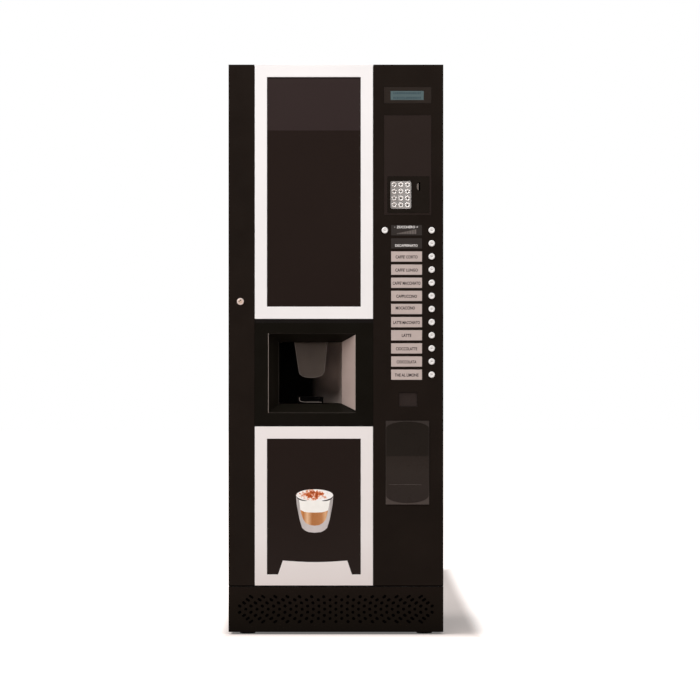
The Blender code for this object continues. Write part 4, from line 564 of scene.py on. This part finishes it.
drawing_x = -0.0684
sheet_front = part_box("lower_panel")[0].y
glass_ink = ink("ink_glass", tone(190, 182, 180), shift=0.14)
across(glass_ink, "X", drawing_x - 0.059, drawing_x + 0.059,
       [(0, (212, 204, 201)), (0.05, (160, 153, 151)), (0.10, (192, 184, 182)),
        (0.5, (206, 197, 195)), (0.90, (198, 190, 188)), (0.95, (150, 144, 142)), (1, (206, 198, 196))])
cream_ink = ink("ink_cream", (0.92, 0.90, 0.85, 1), shift=0.03, patch=0.02)
foam_ink = ink("ink_foam", (0.93, 0.90, 0.88, 1), shift=0.02)
coffee_ink = ink("ink_coffee", tone(184, 124, 76), shift=0.45, patch=0.0035)
across(coffee_ink, "X", drawing_x - 0.046, drawing_x + 0.043,
       [(0, (222, 150, 84)), (0.12, (190, 116, 58)), (0.25, (236, 198, 160)), (0.33, (216, 166, 124)),
        (0.42, (172, 110, 62)), (0.62, (176, 116, 70)), (0.78, (188, 126, 80)),
        (0.90, (226, 180, 138)), (1, (208, 144, 90))])
dark_ink = ink("ink_dark", tone(46, 43, 42))

# Cinnamon is dusted over the foam's middle in loose blots.
tree = foam_ink.node_tree
where = tree.nodes["Texture Coordinate"].outputs["Object"]
dust_x, dust_z, dust_width, dust_height = drawing_x - 0.0050, 0.4490, 0.043, 0.0160
place = add(tree, "Mapping", {"Vector": where, "Location": (-dust_x / dust_width, 0, -dust_z / dust_height),
                              "Scale": (1 / dust_width, 0, 1 / dust_height)})
reach = add(tree, "VectorMath", {0: place["Vector"]}, operation="LENGTH")
within = add(tree, "MapRange", {"Value": reach["Value"], "From Min": 1.25, "From Max": 0.5,
                                "To Min": 0.0, "To Max": 0.25})
blots = add(tree, "TexNoise", {"Vector": where, "Scale": 120, "Detail": 6, "Roughness": 0.65})
level = add(tree, "Math", {0: blots["Fac"], 1: within["Result"]}, operation="ADD")["Value"]
dust = ramp(tree, level, [(0.57, (0, 0, 0, 1)), (0.70, (1, 1, 1, 1))])
spice = ramp(tree, level, [(0.60, tone(240, 178, 132)), (0.72, tone(206, 104, 52)),
                           (0.86, tone(150, 56, 20))])
recolour(foam_ink, spice, dust)

rim_z = 0.4474
glass_side = [(0.0590, 0.4387), (0.0574, 0.4186), (0.0534, 0.3945), (0.0480, 0.3684),
              (0.0400, 0.3423), (0.0309, 0.3343), (0.0199, 0.3290)]
coffee_line = [(-0.0455, 0.4005), (-0.0430, 0.3885), (-0.0369, 0.3704), (-0.0279, 0.3574),
               (-0.0149, 0.3514), (0.0, 0.3494), (0.0150, 0.3514), (0.0275, 0.3590),
               (0.0360, 0.3704), (0.0410, 0.3885), (0.0430, 0.3995)]
cream_line = [(-0.0505, 0.4357), (-0.0458, 0.4005), (-0.0410, 0.3978), (-0.0329, 0.3940),
              (-0.0189, 0.3920), (0.0012, 0.3916), (0.0233, 0.3924), (0.0333, 0.3950),
              (0.0432, 0.3990), (0.0498, 0.4330)]
layers = [
    ("cup_glass", bow(drawing_x, rim_z, 0.0596, 0.0190, 0, 180)
     + [(drawing_x - u, w) for u, w in glass_side] + [(drawing_x, 0.3271)]
     + [(drawing_x + u, w) for u, w in reversed(glass_side)], glass_ink),
    ("cup_coffee", [(drawing_x + u, w) for u, w in coffee_line], coffee_ink),
    ("cup_cream", [(drawing_x + u, w) for u, w in cream_line], cream_ink),
    ("cup_foam", bow(drawing_x, rim_z, 0.0594, 0.0190, 0, 360)[:-1], foam_ink),
    ("cup_rim_left", crescent(drawing_x, rim_z, 0.0594, 0.0190, 184, 246, 0.0040), dark_ink),
    ("cup_rim_right", crescent(drawing_x, rim_z, 0.0594, 0.0190, 356, 292, 0.0044), dark_ink),
]
layer_step, layer_thickness = 0.00004, 0.00006
for number, (name, outline, layer_ink) in enumerate(layers):
    layer = slab(name, outline, sheet_front - layer_step * number, layer_thickness)
    settle(layer, layer_ink, "door", smooth=20)


# Delivery bay
# A gloss black moulding round a deep mouth. A pale strip in its right bevel is a painted highlight
# where light falls on that bevel, and fine pale beads round the mouth and down the left of its
# throat are painted edge highlights.

bay_black = surface("black_plastic", (0.0062, 0.0050, 0.0034, 1), 0.34, shift=0.08, patch=0.15,
                    grain=0.0012, bump=0.08, shine=0.07)
softened("bay_fascia", bay_black, 0.0009, 3)
bay_low, bay_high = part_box("bay_fascia")
front_y, throat_y = bay_low.y, bay_high.y
mouth_x, mouth_z = (-0.2171, 0.0626), (0.7121, 0.9672)
throat_x, throat_z = (-0.1837, 0.0190), (0.7407, 0.9389)


def quad_strip(name, corners, lift, thickness):
    """A thin plate on a slanted face: its four corners in turn, raised along the face's normal."""
    a, b, c, d = (Vector(corner) for corner in corners)
    normal = (b - a).cross(d - a).normalized()
    shape = bmesh.new()
    low = [shape.verts.new(v + normal * lift) for v in (a, b, c, d)]
    high = [shape.verts.new(v + normal * (lift + thickness)) for v in (a, b, c, d)]
    shape.faces.new(low)
    shape.faces.new(high)
    for n in range(4):
        shape.faces.new((low[n], low[n - 1], high[n - 1], high[n]))
    bmesh.ops.recalc_face_normals(shape, faces=shape.faces)
    return shaped(name, shape)


# The strip's pale colour is a painted highlight on the lit right bevel.
bevel_highlight_paint = surface("bevel_painted_highlight", tone(150, 133, 126), 0.5, shift=0.04, patch=0.06, grain=0.0006,
                  bump=0.1, shine=0.3)
pale_edge_highlight = surface("pale_edge_highlight", tone(160, 148, 140), 0.35, shift=0.06, patch=0.02, grain=0.0006,
                    bump=0.05)
dim_edge_highlight = surface("dim_edge_highlight", tone(74, 67, 62), 0.4, shift=0.06, patch=0.02, grain=0.0006,
                   bump=0.05, shine=0.2)
strip_z = (mouth_z[0] + 0.0085, mouth_z[1] - 0.0050)
strip = quad_strip("bay_bevel_painted_highlight", [
    (throat_x[1] + 0.0004, throat_y - 0.0005, throat_z[1] + 0.0002),
    (mouth_x[1] - 0.0014, front_y + 0.0014, strip_z[1]),
    (mouth_x[1] - 0.0014, front_y + 0.0014, strip_z[0]),
    (throat_x[1] + 0.0004, throat_y - 0.0005, throat_z[0] - 0.0002)], -0.0002, 0.0008)
round_edges(strip, 0.0002, 1)
settle(strip, bevel_highlight_paint, "door")

# Each bead is a painted edge highlight, a slim square bar between two ends with rounded edges.
right_x, left_x = mouth_x[1] - 0.0004, throat_x[0] - 0.0006
mouth_y, deep_y = front_y + 0.0002, throat_y - 0.0002
for name, ends_x, y, ends_z, size, material in (
        ("mouth_edge_left", (mouth_x[0], mouth_x[0]), mouth_y, mouth_z, 0.0011, pale_edge_highlight),
        ("mouth_edge_right", (right_x, right_x), mouth_y, strip_z, 0.0015, pale_edge_highlight),
        ("mouth_edge_foot", mouth_x, mouth_y, (mouth_z[0], mouth_z[0]), 0.0007, dim_edge_highlight),
        ("mouth_edge_head", mouth_x, mouth_y, (mouth_z[1], mouth_z[1]), 0.0004, dim_edge_highlight),
        ("throat_edge_left", (left_x, left_x), deep_y, throat_z, 0.0011, dim_edge_highlight)):
    half = size / 2
    bar = brick(name, (ends_x[0] - half, y - half, ends_z[0] - half),
                (ends_x[1] + half, y + half, ends_z[1] + half), size * 0.3, 1)
    settle(bar, material, "door")

# Painted light: the niche is painted paler toward its right, on the faces that look inward and to
# the left, where the light falls.
niche_black = surface("niche_black", tone(3, 2, 2), 0.4, shift=0.1, patch=0.1, grain=0.0012,
                      bump=0.05, shine=0.0)
tree = niche_black.node_tree
sideways = add(tree, "MapRange", {"Value": coordinates(tree)["X"], "From Min": -0.078,
                                  "From Max": 0.019})
facing = add(tree, "SeparateXYZ", {"Vector": tree.nodes["Texture Coordinate"].outputs["Normal"]})
lower = add(tree, "Math", {0: facing["X"], 1: facing["Y"]}, operation="MINIMUM")
inward = add(tree, "Math", {0: lower["Value"], 1: -0.5}, operation="LESS_THAN")
niche_painted_light = add(tree, "Math", {0: sideways["Result"], 1: inward["Value"]}, operation="MULTIPLY")
recolour(niche_black, (0.52, 0.41, 0.36, 1), niche_painted_light["Value"], "ADD")
softened("bay_niche", niche_black, 0.0008)


# Nozzle cover and cup stand
# The tongue over the drink nozzles is satin grey plastic, bowed at its foot, with a paler bead round
# it as a painted highlight on its rim. The stand below is black and slotted, with a bright wire lip
# that curls up at its left, a painted highlight on the stand's rim.

grey_plastic = surface("grey_plastic", tone(70, 61, 55), 0.42, shift=0.06, patch=0.05,
                       grain=0.0009, bump=0.15, shine=0.25, worn=0.2)


def tube(name, points, radius):
    """A round wire through the points."""
    curve = bpy.data.curves.new(name, "CURVE")
    curve.dimensions = "3D"
    curve.bevel_depth = radius
    curve.bevel_resolution = 3
    curve.use_fill_caps = True
    line = curve.splines.new("POLY")
    line.points.add(len(points) - 1)
    for point, place in zip(line.points, points):
        point.co = (*place, 1)
    new_piece(name, curve)
    bpy.ops.object.convert(target="MESH")
    return bpy.context.active_object


cover_low, cover_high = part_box("nozzle_cover")
tongue = [(-0.1335, cover_high.z), (-0.1192, 0.8445), (-0.1172, 0.8379), (-0.1095, 0.8302),
          (-0.0985, 0.8262), (-0.0815, 0.8244), (-0.0645, 0.8254), (-0.0517, 0.8290),
          (-0.0421, 0.8352), (-0.0374, 0.8430), (-0.0274, cover_high.z)]
cover = slab("nozzle_tongue", tongue, cover_high.y, cover_high.y - cover_low.y)
round_edges(cover, 0.0014, 3)
settle(cover, grey_plastic, "door")
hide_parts("nozzle_cover")
# The bead is a painted highlight along the tongue's rim.
bead = tube("nozzle_bead", [(x, cover_low.y + 0.0002, z) for x, z in tongue], 0.00065)
bead_grey_highlight = surface("bead_grey_highlight", tone(108, 100, 94), 0.3, shift=0.06, patch=0.02, grain=0.0006,
                    bump=0.05, shine=0.3)
settle(bead, bead_grey_highlight, "door")
stand_black = surface("stand_black", tone(4, 3, 3), 0.5, shift=0.2, patch=0.02, grain=0.0009,
                      bump=0.1, shine=0.02)
softened("drip_stand", stand_black, 0.0008)
# The lip's pale colour is a painted highlight on the stand's rim.
lip_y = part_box("drip_stand")[0].y - 0.0006
lip = tube("drip_lip", [(x, lip_y, z) for x, z in (
    (-0.1172, 0.7605), (-0.1184, 0.7550), (-0.1169, 0.7504), (-0.1122, 0.7473), (-0.1037, 0.7458),
    (-0.0459, 0.7454))], 0.0007)
settle(lip, pale_edge_highlight, "door")


# Delivery flap
# A clear acrylic door on two small pins at its left. It is nearly invisible when it is shut.

acrylic, tree, shader = new_material("clear_plastic")
haze = add(tree, "TexNoise", {"Vector": add(tree, "TexCoord", {})["Object"], "Scale": 18, "Detail": 6})
clearness = add(tree, "MapRange", {"Value": haze["Fac"], "To Min": 0.006, "To Max": 0.02})
feed(tree, shader, {"Base Color": (0.02, 0.018, 0.016, 1), "Roughness": 0.05,
                    "Alpha": clearness["Result"]})
softened("delivery_door", acrylic, 0.0005)


# Control fascia
# The same coated steel as the cabinet, cut for the display, the payment panel, the buttons and
# the coin return, and pressed in a little for each selection label.

softened("control_fascia", black_paint, 0.0004, fit=raise_top)


# Display
# A smoked plate with a reflective character display behind a small window. The cells of the
# panel show as a faint grid, and nothing is written on it.

module_grey = surface("display_grey", tone(43, 36, 32), 0.36, shift=0.05, patch=0.05,
                      grain=0.0009, bump=0.1, shine=0.1)
softened("display_module", module_grey, 0.0006)
lcd_green = surface("lcd", tone(84, 100, 102), 0.22, shift=0.06, patch=0.05, grain=0.002,
                    bump=0.02, shine=0.4)
cell_dark = surface("lcd_cell", tone(66, 82, 87), 0.25, shift=0.06, patch=0.02, grain=0.002,
                    bump=0.02, shine=0.4)
screen_x, screen_z, screen_y = (0.1754, 0.2820), (1.7168, 1.7463), (-0.36285, -0.3624)
inset = 0.0003
screen = brick("lcd_screen", (screen_x[0] + inset, screen_y[0], screen_z[0] + inset),
               (screen_x[1] - inset, screen_y[1], screen_z[1] - inset), 0.0001, 1)
settle(screen, lcd_green, "door")


def flat_print(name, y, shapes):
    """Flat faces at y without thickness: each shape lists its x and z corners, anticlockwise."""
    shape = bmesh.new()
    for corners in shapes:
        shape.faces.new([shape.verts.new((x, y, z)) for x, z in corners])
    return shaped(name, shape)


cell_x, cell_z, cell_pitch, line_pitch = 0.0023, 0.0036, 0.00565, 0.0150
first_x, first_z = screen_x[0] + 0.0110, screen_z[0] + 0.0070
cells = []
for row in range(2):
    for column in range(16):
        x, z = first_x + column * cell_pitch, first_z + row * line_pitch
        cells.append([(x - cell_x, z - cell_z), (x + cell_x, z - cell_z),
                      (x + cell_x, z + cell_z), (x - cell_x, z + cell_z)])
settle(flat_print("lcd_cells", screen_y[0] - 0.00003, cells), cell_dark, "door")


# Payment panel
# A large blank panel for a card reader, and a terminal at its foot with a steel keypad and a
# coin slot beside it.

panel_grey = surface("payment_grey", tone(42, 34, 31), 0.34, shift=0.04, patch=0.2,
                     grain=0.0012, bump=0.08, shine=0.06)
softened("payment_panel", panel_grey, 0.0006)
terminal_black = surface("terminal_black", tone(29, 24, 20), 0.34, shift=0.06, patch=0.05,
                         grain=0.0012, bump=0.08, shine=0.07)
softened("keypad_terminal", terminal_black, 0.0007)
keypad_steel = surface("steel", tone(240, 233, 229), 0.24, metal=0.70, shift=0.14, patch=0.012,
                       grain=0.0006, bump=0.08, worn=0.2)
# Painted reflection: the keypad steel is painted paler toward its right.
across(keypad_steel, "X", 0.1748, 0.2429, [(0, (204, 198, 194)), (0.5, (240, 235, 231)),
                                           (1, (250, 246, 243))])
capital_share, print_thickness = 0.73, 0.00004


def words(name, text, x, z, y, height, material, body, width=None, bold=0.0):
    """Printed words centred on x and z with their face at y, set to a cap height or to a width."""
    bpy.ops.object.text_add(location=(0, 0, 0))
    piece = bpy.context.active_object
    piece.name = name
    piece.data.body = text
    piece.data.size = height / capital_share
    piece.data.extrude = print_thickness
    piece.data.offset = bold
    piece.data.resolution_u = 3
    bpy.ops.object.convert(target="MESH")
    piece = bpy.context.active_object
    xs = [v.co.x for v in piece.data.vertices]
    ys = [v.co.y for v in piece.data.vertices]
    if width:
        piece.scale.x = width / (max(xs) - min(xs))
    piece.rotation_euler = (math.radians(90), 0, 0)
    middle = (max(xs) + min(xs)) / 2 * piece.scale.x
    piece.location = (x - middle, y, z - (max(ys) + min(ys)) / 2)
    settle(piece, material, body, smooth=20)


def round_box(x, z, half_width, half_height, radius):
    """The outline of a rectangle with rounded corners."""
    points = []
    for start, sx, sz in ((0, 1, 1), (90, -1, 1), (180, -1, -1), (270, 1, -1)):
        points += bow(x + sx * (half_width - radius), z + sz * (half_height - radius),
                      radius, radius, start, start + 90, 6)
    return points


mat_low, mat_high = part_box("keypad_mat")
plate_depth, key_pitch_x, key_pitch_z = 0.0012, 0.0215, 0.0217
plate_thickness = mat_high.y - mat_low.y - plate_depth
key_x = [(mat_low.x + mat_high.x) / 2 - 0.0004 + key_pitch_x * n for n in (-1, 0, 1)]
key_z = [(mat_low.z + mat_high.z) / 2 + 0.0004 + key_pitch_z * n for n in (1.5, 0.5, -0.5, -1.5)]
keypad = slab("keypad_plate", round_box(key_x[1], (key_z[1] + key_z[2]) / 2, 0.0332, 0.0442, 0.0060),
              mat_high.y, plate_thickness)
round_edges(keypad, 0.0004)
key = spun("key_cap", [(0, 0.0011), (0.0040, 0.0010), (0.0053, 0.0004), (0.0062, 0), (0.0070, 0.0001),
                       (0.0078, 0.0005), (0.0081, plate_depth + 0.0002), (0, plate_depth + 0.0006)],
           (0, 0, 0), 32)
for x in key_x:
    for z in key_z:
        cap = new_piece("key", key.data.copy())
        cap.location = (x, mat_low.y, z)
        join(keypad, cap)
bpy.data.objects.remove(key)
settle(keypad, keypad_steel, "door")
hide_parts("keypad_mat")
key_print = ink("key_print", tone(34, 31, 30))
for number, symbol in enumerate("123456789*0#"):
    words(f"key_{number + 1}", symbol, key_x[number % 3], key_z[number // 3], mat_low.y + 0.0009, 0.0066,
          key_print, "door", bold=0.00035)

# A thin half disc beside the slot guides the coins in, and its pale grey is a painted highlight on
# the slot's lead-in.
guide_x, guide_z = (0.2598, 0.2655), (1.4275, 1.4495)
guide_back, guide_thickness = -0.3642, 0.0008
guide = slab("coin_guide", bow(guide_x[1], (guide_z[0] + guide_z[1]) / 2, guide_x[1] - guide_x[0],
                               (guide_z[1] - guide_z[0]) / 2, 90, 270, 20), guide_back, guide_thickness)
round_edges(guide, 0.0002, 1)
settle(guide, bead_grey_highlight, "door")


# Selection labels
# Printed cards in shallow recesses: two dark ones for sugar and decaffeinated, and ten pale ones
# in dark lettering, one beside each drink button.

card_pale = surface("card_pale", tone(186, 171, 165), 0.5, shift=0.03, patch=0.03, grain=0.0006,
                    bump=0.08, shine=0.3)
card_dark = surface("card_dark", tone(45, 39, 36), 0.45, shift=0.05, patch=0.03, grain=0.0006,
                    bump=0.08, shine=0.3)
letters_dark = ink("letters_dark", tone(26, 22, 20))
letters_white = ink("letters_white", (0.86, 0.82, 0.80, 1))
letters_grey = ink("letters_grey", tone(112, 104, 100))
label_x, card_y, card_half = (0.1774, 0.2765), (-0.3629, -0.3624), 0.0164
top_row, row_step = 1.2984, 0.04217
label_middle = (label_x[0] + label_x[1]) / 2
for row in range(12):
    middle_z = top_row - row * row_step + 0.0001
    card = brick(f"label_card_{row + 1}", (label_x[0], card_y[0], middle_z - card_half),
                 (label_x[1], card_y[1], middle_z + card_half), 0.00015, 1)
    settle(card, card_dark if row < 2 else card_pale, "door")
print_y = card_y[0] - 0.00003
drinks = [("CAFFE' CORTO", 0.0709, 0), ("CAFFE' LUNGO", 0.0730, 0), ("CAFFE' MACCHIATO", 0.0897, 0),
          ("CAPPUCCINO", 0.0670, 0), ("MOCACCINO", 0.0620, 0.0045), ("LATTE MACCHIATO", 0.0857, 0),
          ("LATTE", 0.0307, 0.0008), ("CIOCCOLATTE", 0.0687, 0), ("CIOCCOLATA", 0.0636, 0),
          ("THE AL LIMONE", 0.0766, 0)]
for number, (text, width, lift) in enumerate(drinks):
    z = top_row - (number + 2) * row_step - 0.0012 + lift
    middle = label_middle - (0.0040 if text == "MOCACCINO" else 0)
    words(f"label_text_{number + 3}", text, middle, z, print_y, 0.0098, letters_dark, "door",
          width=width, bold=0.00034)
sugar_z = top_row + 0.0104
words("label_text_1", "ZUCCHERO", label_middle - 0.0020, sugar_z, print_y, 0.0078, letters_white, "door",
      width=0.0590, bold=0.00016)
for name, symbol, x in (("sugar_minus", "-", label_x[0] + 0.0115),
                        ("sugar_plus", "+", label_x[1] - 0.0155)):
    words(name, symbol, x, sugar_z, print_y, 0.0078, letters_white, "door", bold=0.00004)
words("label_text_2", "DECAFFEINATO", label_middle - 0.0005, top_row - row_step - 0.0068, print_y,
      0.0078, letters_white, "door", width=0.0720, bold=0.00018)
bar_width, bar_pitch, bar_rise, bar_slope = 0.0034, 0.00525, 0.0011, 0.0008
bars = []
for n in range(12):
    x = label_x[0] + 0.0190 + n * bar_pitch
    foot, head = top_row - 0.0118, top_row - 0.0100 + bar_rise * n
    bars.append([(x, foot), (x + bar_width, foot), (x + bar_width, head + bar_slope), (x, head)])
settle(flat_print("sugar_scale", print_y, bars), letters_grey, "door")


# Buttons
# Thirteen moulded white push caps with a shallow dish and a small grey pip. Each is ringed in black
# out to the rim that holds it behind the fascia, painted shade where the hole darkens the cap's edge.
# One is modelled and the others are copies.

white_plastic = surface("white_plastic", (0.77, 0.75, 0.735, 1), 0.3, shift=0.03, patch=0.004,
                        grain=0.0005, bump=0.05, shine=0.4)
cap_low, cap_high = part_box("button_drink_1")
rim_y, white_radius = -0.3597, 0.0102
cap_depth, rim_depth = cap_high.y - cap_low.y, rim_y - cap_low.y
cap = spun("button_cap", [(0, 0.0014), (0.0030, 0.0012), (0.0058, 0.0004), (0.0075, 0), (0.0089, 0.0004),
                          (0.0097, 0.0012), (0.0101, 0.0024), (0.0101, 0.0044), (0.0104, 0.0044),
                          (0.0104, 0.0036), (0.0110, 0.0036), (0.0110, rim_depth), (0.0128, rim_depth),
                          (0.0128, rim_depth + 0.002), (0.0050, rim_depth + 0.002),
                          (0.0050, cap_depth), (0, cap_depth)], (0, 0, 0), 40)
pip = brick("pip", (-0.0024, 0.0009, -0.0006), (0.0024, 0.0013, 0.0006), 0.0002, 1)
for node in [n for n in frame["nodes"] if n.startswith("button_")]:
    low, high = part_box(node)
    x, z = (low.x + high.x) / 2, (low.z + high.z) / 2
    piece = new_piece(node + "_white", cap.data.copy())
    piece.location = (x, cap_low.y, z)
    # The faces beyond the white radius are painted black as shade round the cap's edge.
    shade_ring = [math.hypot(*face.center.xz) > white_radius for face in piece.data.polygons]
    settle(piece, white_plastic, frame["nodes"][node]["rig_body"])
    piece.data.materials.append(bay_black)
    for face, dark in zip(piece.data.polygons, shade_ring):
        face.material_index = int(dark)
    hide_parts(node)
    mark = new_piece(node + "_pip", pip.data.copy())
    mark.location = (x + 0.0004, cap_low.y, z)
    settle(mark, letters_grey, frame["nodes"][node]["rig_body"])
bpy.data.objects.remove(cap)
bpy.data.objects.remove(pip)


# Coin return and information card
# A satin grey flap hides the return cup. The card below sits in a thin moulded holder whose
# two foot corners show beside the card's bowed edge.

flap_grey = surface("flap_grey", tone(46, 38, 35), 0.4, shift=0.05, patch=0.04, grain=0.0009,
                    bump=0.12, shine=0.1)
softened("coin_flap", flap_grey, 0.0005)
softened("coin_cup", bay_black, 0.0006)
holder_grey = surface("card_holder", tone(70, 61, 57), 0.36, shift=0.05, patch=0.04, grain=0.0009,
                      bump=0.08, shine=0.25)
holder_z = (0.4176, 0.6864)
across(holder_grey, "Z", *holder_z, [(0, (74, 65, 61)), (0.18, (62, 54, 50)), (0.3, (44, 38, 35)),
                                     (1, (46, 40, 37))])
info_low, info_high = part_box("info_holder")
middle, half = (info_low.x + info_high.x) / 2, (info_high.x - info_low.x) / 2
card_back, card_front = info_low.y + 0.0004, info_low.y + 0.0001
holder = slab("info_frame", round_box(middle, (info_low.z + info_high.z) / 2, half,
                                      (info_high.z - info_low.z) / 2, 0.0012),
              info_high.y, info_high.y - card_back)
round_edges(holder, 0.0003)
settle(holder, holder_grey, "door")
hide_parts("info_holder")
card_ink = ink("info_print", tone(32, 27, 24), 0.3, shift=0.06, patch=0.15, shine=0.07)
across(card_ink, "Z", *holder_z, [(0, (50, 43, 40)), (0.40, (52, 45, 41)), (0.575, (48, 41, 37)),
                                  (0.58, (36, 31, 27)), (1, (35, 30, 26))])
card_reach = half - 0.0012
outline = (bow(middle, info_high.z - 0.0240, card_reach, 0.0215, 4, 176)
           + bow(middle, info_low.z + 0.0300, card_reach, 0.0255, 184, 356))
info_card = slab("info_card", outline, card_back, card_back - card_front)
settle(info_card, card_ink, "door", smooth=20)
rule = brick("info_rule", (middle - 0.058, card_front - 0.00004, 0.4815),
             (middle + 0.045, card_front + 0.00002, 0.4819))
settle(rule, letters_grey, "door")


# Works inside the cabinet
# Seen when the door stands open: milky canisters with the powder showing through, a clear bean
# hopper, painted metal castings and dark moulded housings, all fixed to the zinc shelf.

machine_metal = surface("machine_metal", tone(158, 160, 160), 0.38, metal=0.7, shift=0.12,
                        patch=0.03, grain=0.002, bump=0.2, worn=0.4)
works_plastic = surface("works_plastic", tone(58, 60, 62), 0.5, shift=0.1, patch=0.05,
                        grain=0.0009, bump=0.2, worn=0.3)
pale_plastic = surface("pale_plastic", tone(206, 202, 194), 0.4, shift=0.05, patch=0.06,
                       grain=0.0009, bump=0.12, shine=0.4)
canister_plastic = surface("canister_plastic", tone(196, 190, 178), 0.3, shift=0.06, patch=0.1,
                           grain=0.002, bump=0.05, shine=0.4)
across(canister_plastic, "Z", 1.4003, 1.7003, [(0, (112, 84, 62)), (0.64, (126, 98, 74)),
                                               (0.68, (196, 189, 178)), (1, (204, 199, 190))])
for material, slot, nodes in (
        (machine_metal, "machine_metal", ("coffee_grinder", "boiler")),
        (works_plastic, "works_plastic", ("brew_unit", "waste_bin", "control_box", "coin_mech")),
        (canister_plastic, "canister_plastic", [f"powder_canister_{n}" for n in (1, 2, 3)]),
        (pale_plastic, "pale_plastic", ("mixer_bank", "cup_magazine")),
        (acrylic, "clear_plastic", ("bean_hopper",))):
    for node in nodes:
        softened(node, material, 0.0008)


# Floor, backdrop, lamps and camera
# A pale studio floor runs out into white. Four broad soft lamps light the front and the left side,
# and a dark card behind the camera keeps the black faces from showing white.

bpy.ops.mesh.primitive_plane_add(size=60, location=(0, 0, 0))
floor = bpy.context.active_object
floor.name = "studio_floor"
paper, tree, shader = new_material("studio_paper")
# Painted light: the floor glows for the camera alone, faintly in a box round the machine where the lamps'
# shadows show, and fully white beyond it.
near = add(tree, "Mapping", {"Vector": add(tree, "TexCoord", {})["Object"], "Location": (0.05, 1.4, 0),
                             "Scale": (0.55, 2.5, 1)}, vector_type="TEXTURE")
far = add(tree, "VectorMath", {0: near["Vector"]}, operation="ABSOLUTE")
apart = add(tree, "SeparateXYZ", {"Vector": far["Vector"]})
reach = add(tree, "Math", {0: apart["X"], 1: apart["Y"]}, operation="MAXIMUM")
fade = add(tree, "MapRange", {"Value": reach["Value"], "From Min": 0.69, "From Max": 0.84,
                              "To Min": 0.17, "To Max": 1.0}, interpolation_type="SMOOTHSTEP")
lift = add(tree, "Math", {0: add(tree, "LightPath", {})["Is Camera Ray"], 1: fade["Result"]},
           operation="MULTIPLY")
feed(tree, shader, {"Base Color": (0.64, 0.56, 0.525, 1), "Roughness": 0.6, "Specular IOR Level": 0.1,
                    "Emission Color": (1, 0.965, 0.945, 1), "Emission Strength": lift["Value"]})
floor.data.materials.append(paper)

bpy.ops.mesh.primitive_plane_add(size=1, location=(0, -15.5, 2.0), rotation=(math.radians(90), 0, 0))
flag = bpy.context.active_object
flag.name = "black_flag"
flag.scale = (10, 7, 1)
flag.visible_camera = False
dull, tree, shader = new_material("black_flag")
feed(tree, shader, {"Base Color": (0.01, 0.01, 0.01, 1), "Roughness": 1.0})
flag.data.materials.append(dull)

for name, location, target, size, watts in (
        ("key", (-4.8, -5.6, 5.4), (0, -0.3, 1.6), 3.0, 232),
        ("fill", (5.2, -5.8, 4.6), (0, -0.3, 1.5), 3.2, 128),
        ("top", (0.3, -2.2, 5.2), (0, -0.2, 1.5), 2.4, 115),
        ("side", (-4.4, -1.1, 4.0), (0, 0.2, 0.5), 2.6, 220)):
    light = bpy.data.lights.new(name, "AREA")
    light.shape = "SQUARE"
    light.size = size
    light.energy = watts
    lamp = new_piece(name, light)
    lamp.location = location
    away = Vector(location) - Vector(target)
    lamp.rotation_euler = away.to_track_quat("Z", "Y").to_euler()

world = bpy.data.worlds.new("studio")
bpy.context.scene.world = world
world.use_nodes = True
tree = world.node_tree
ray = add(tree, "LightPath", {})
seen = add(tree, "Math", {0: ray["Is Camera Ray"], 1: ray["Is Transmission Ray"]}, operation="MAXIMUM")
level = add(tree, "MapRange", {"Value": seen["Value"], "To Min": 0.20, "To Max": 1.0})
feed(tree, tree.nodes["Background"], {"Color": (1, 1, 1, 1), "Strength": level["Result"]})

scene = bpy.context.scene
scene.view_settings.view_transform = "Standard"
camera = bpy.data.cameras.new("camera")
camera.lens = 200
camera.sensor_width = 36
camera.shift_x = 0.0201
camera.shift_y = -0.0023
camera.clip_end = 100
eye = new_piece("camera", camera)
eye.location = (0, -12.855, 0.919)
eye.rotation_euler = (math.radians(90), 0, 0)
scene.camera = eye
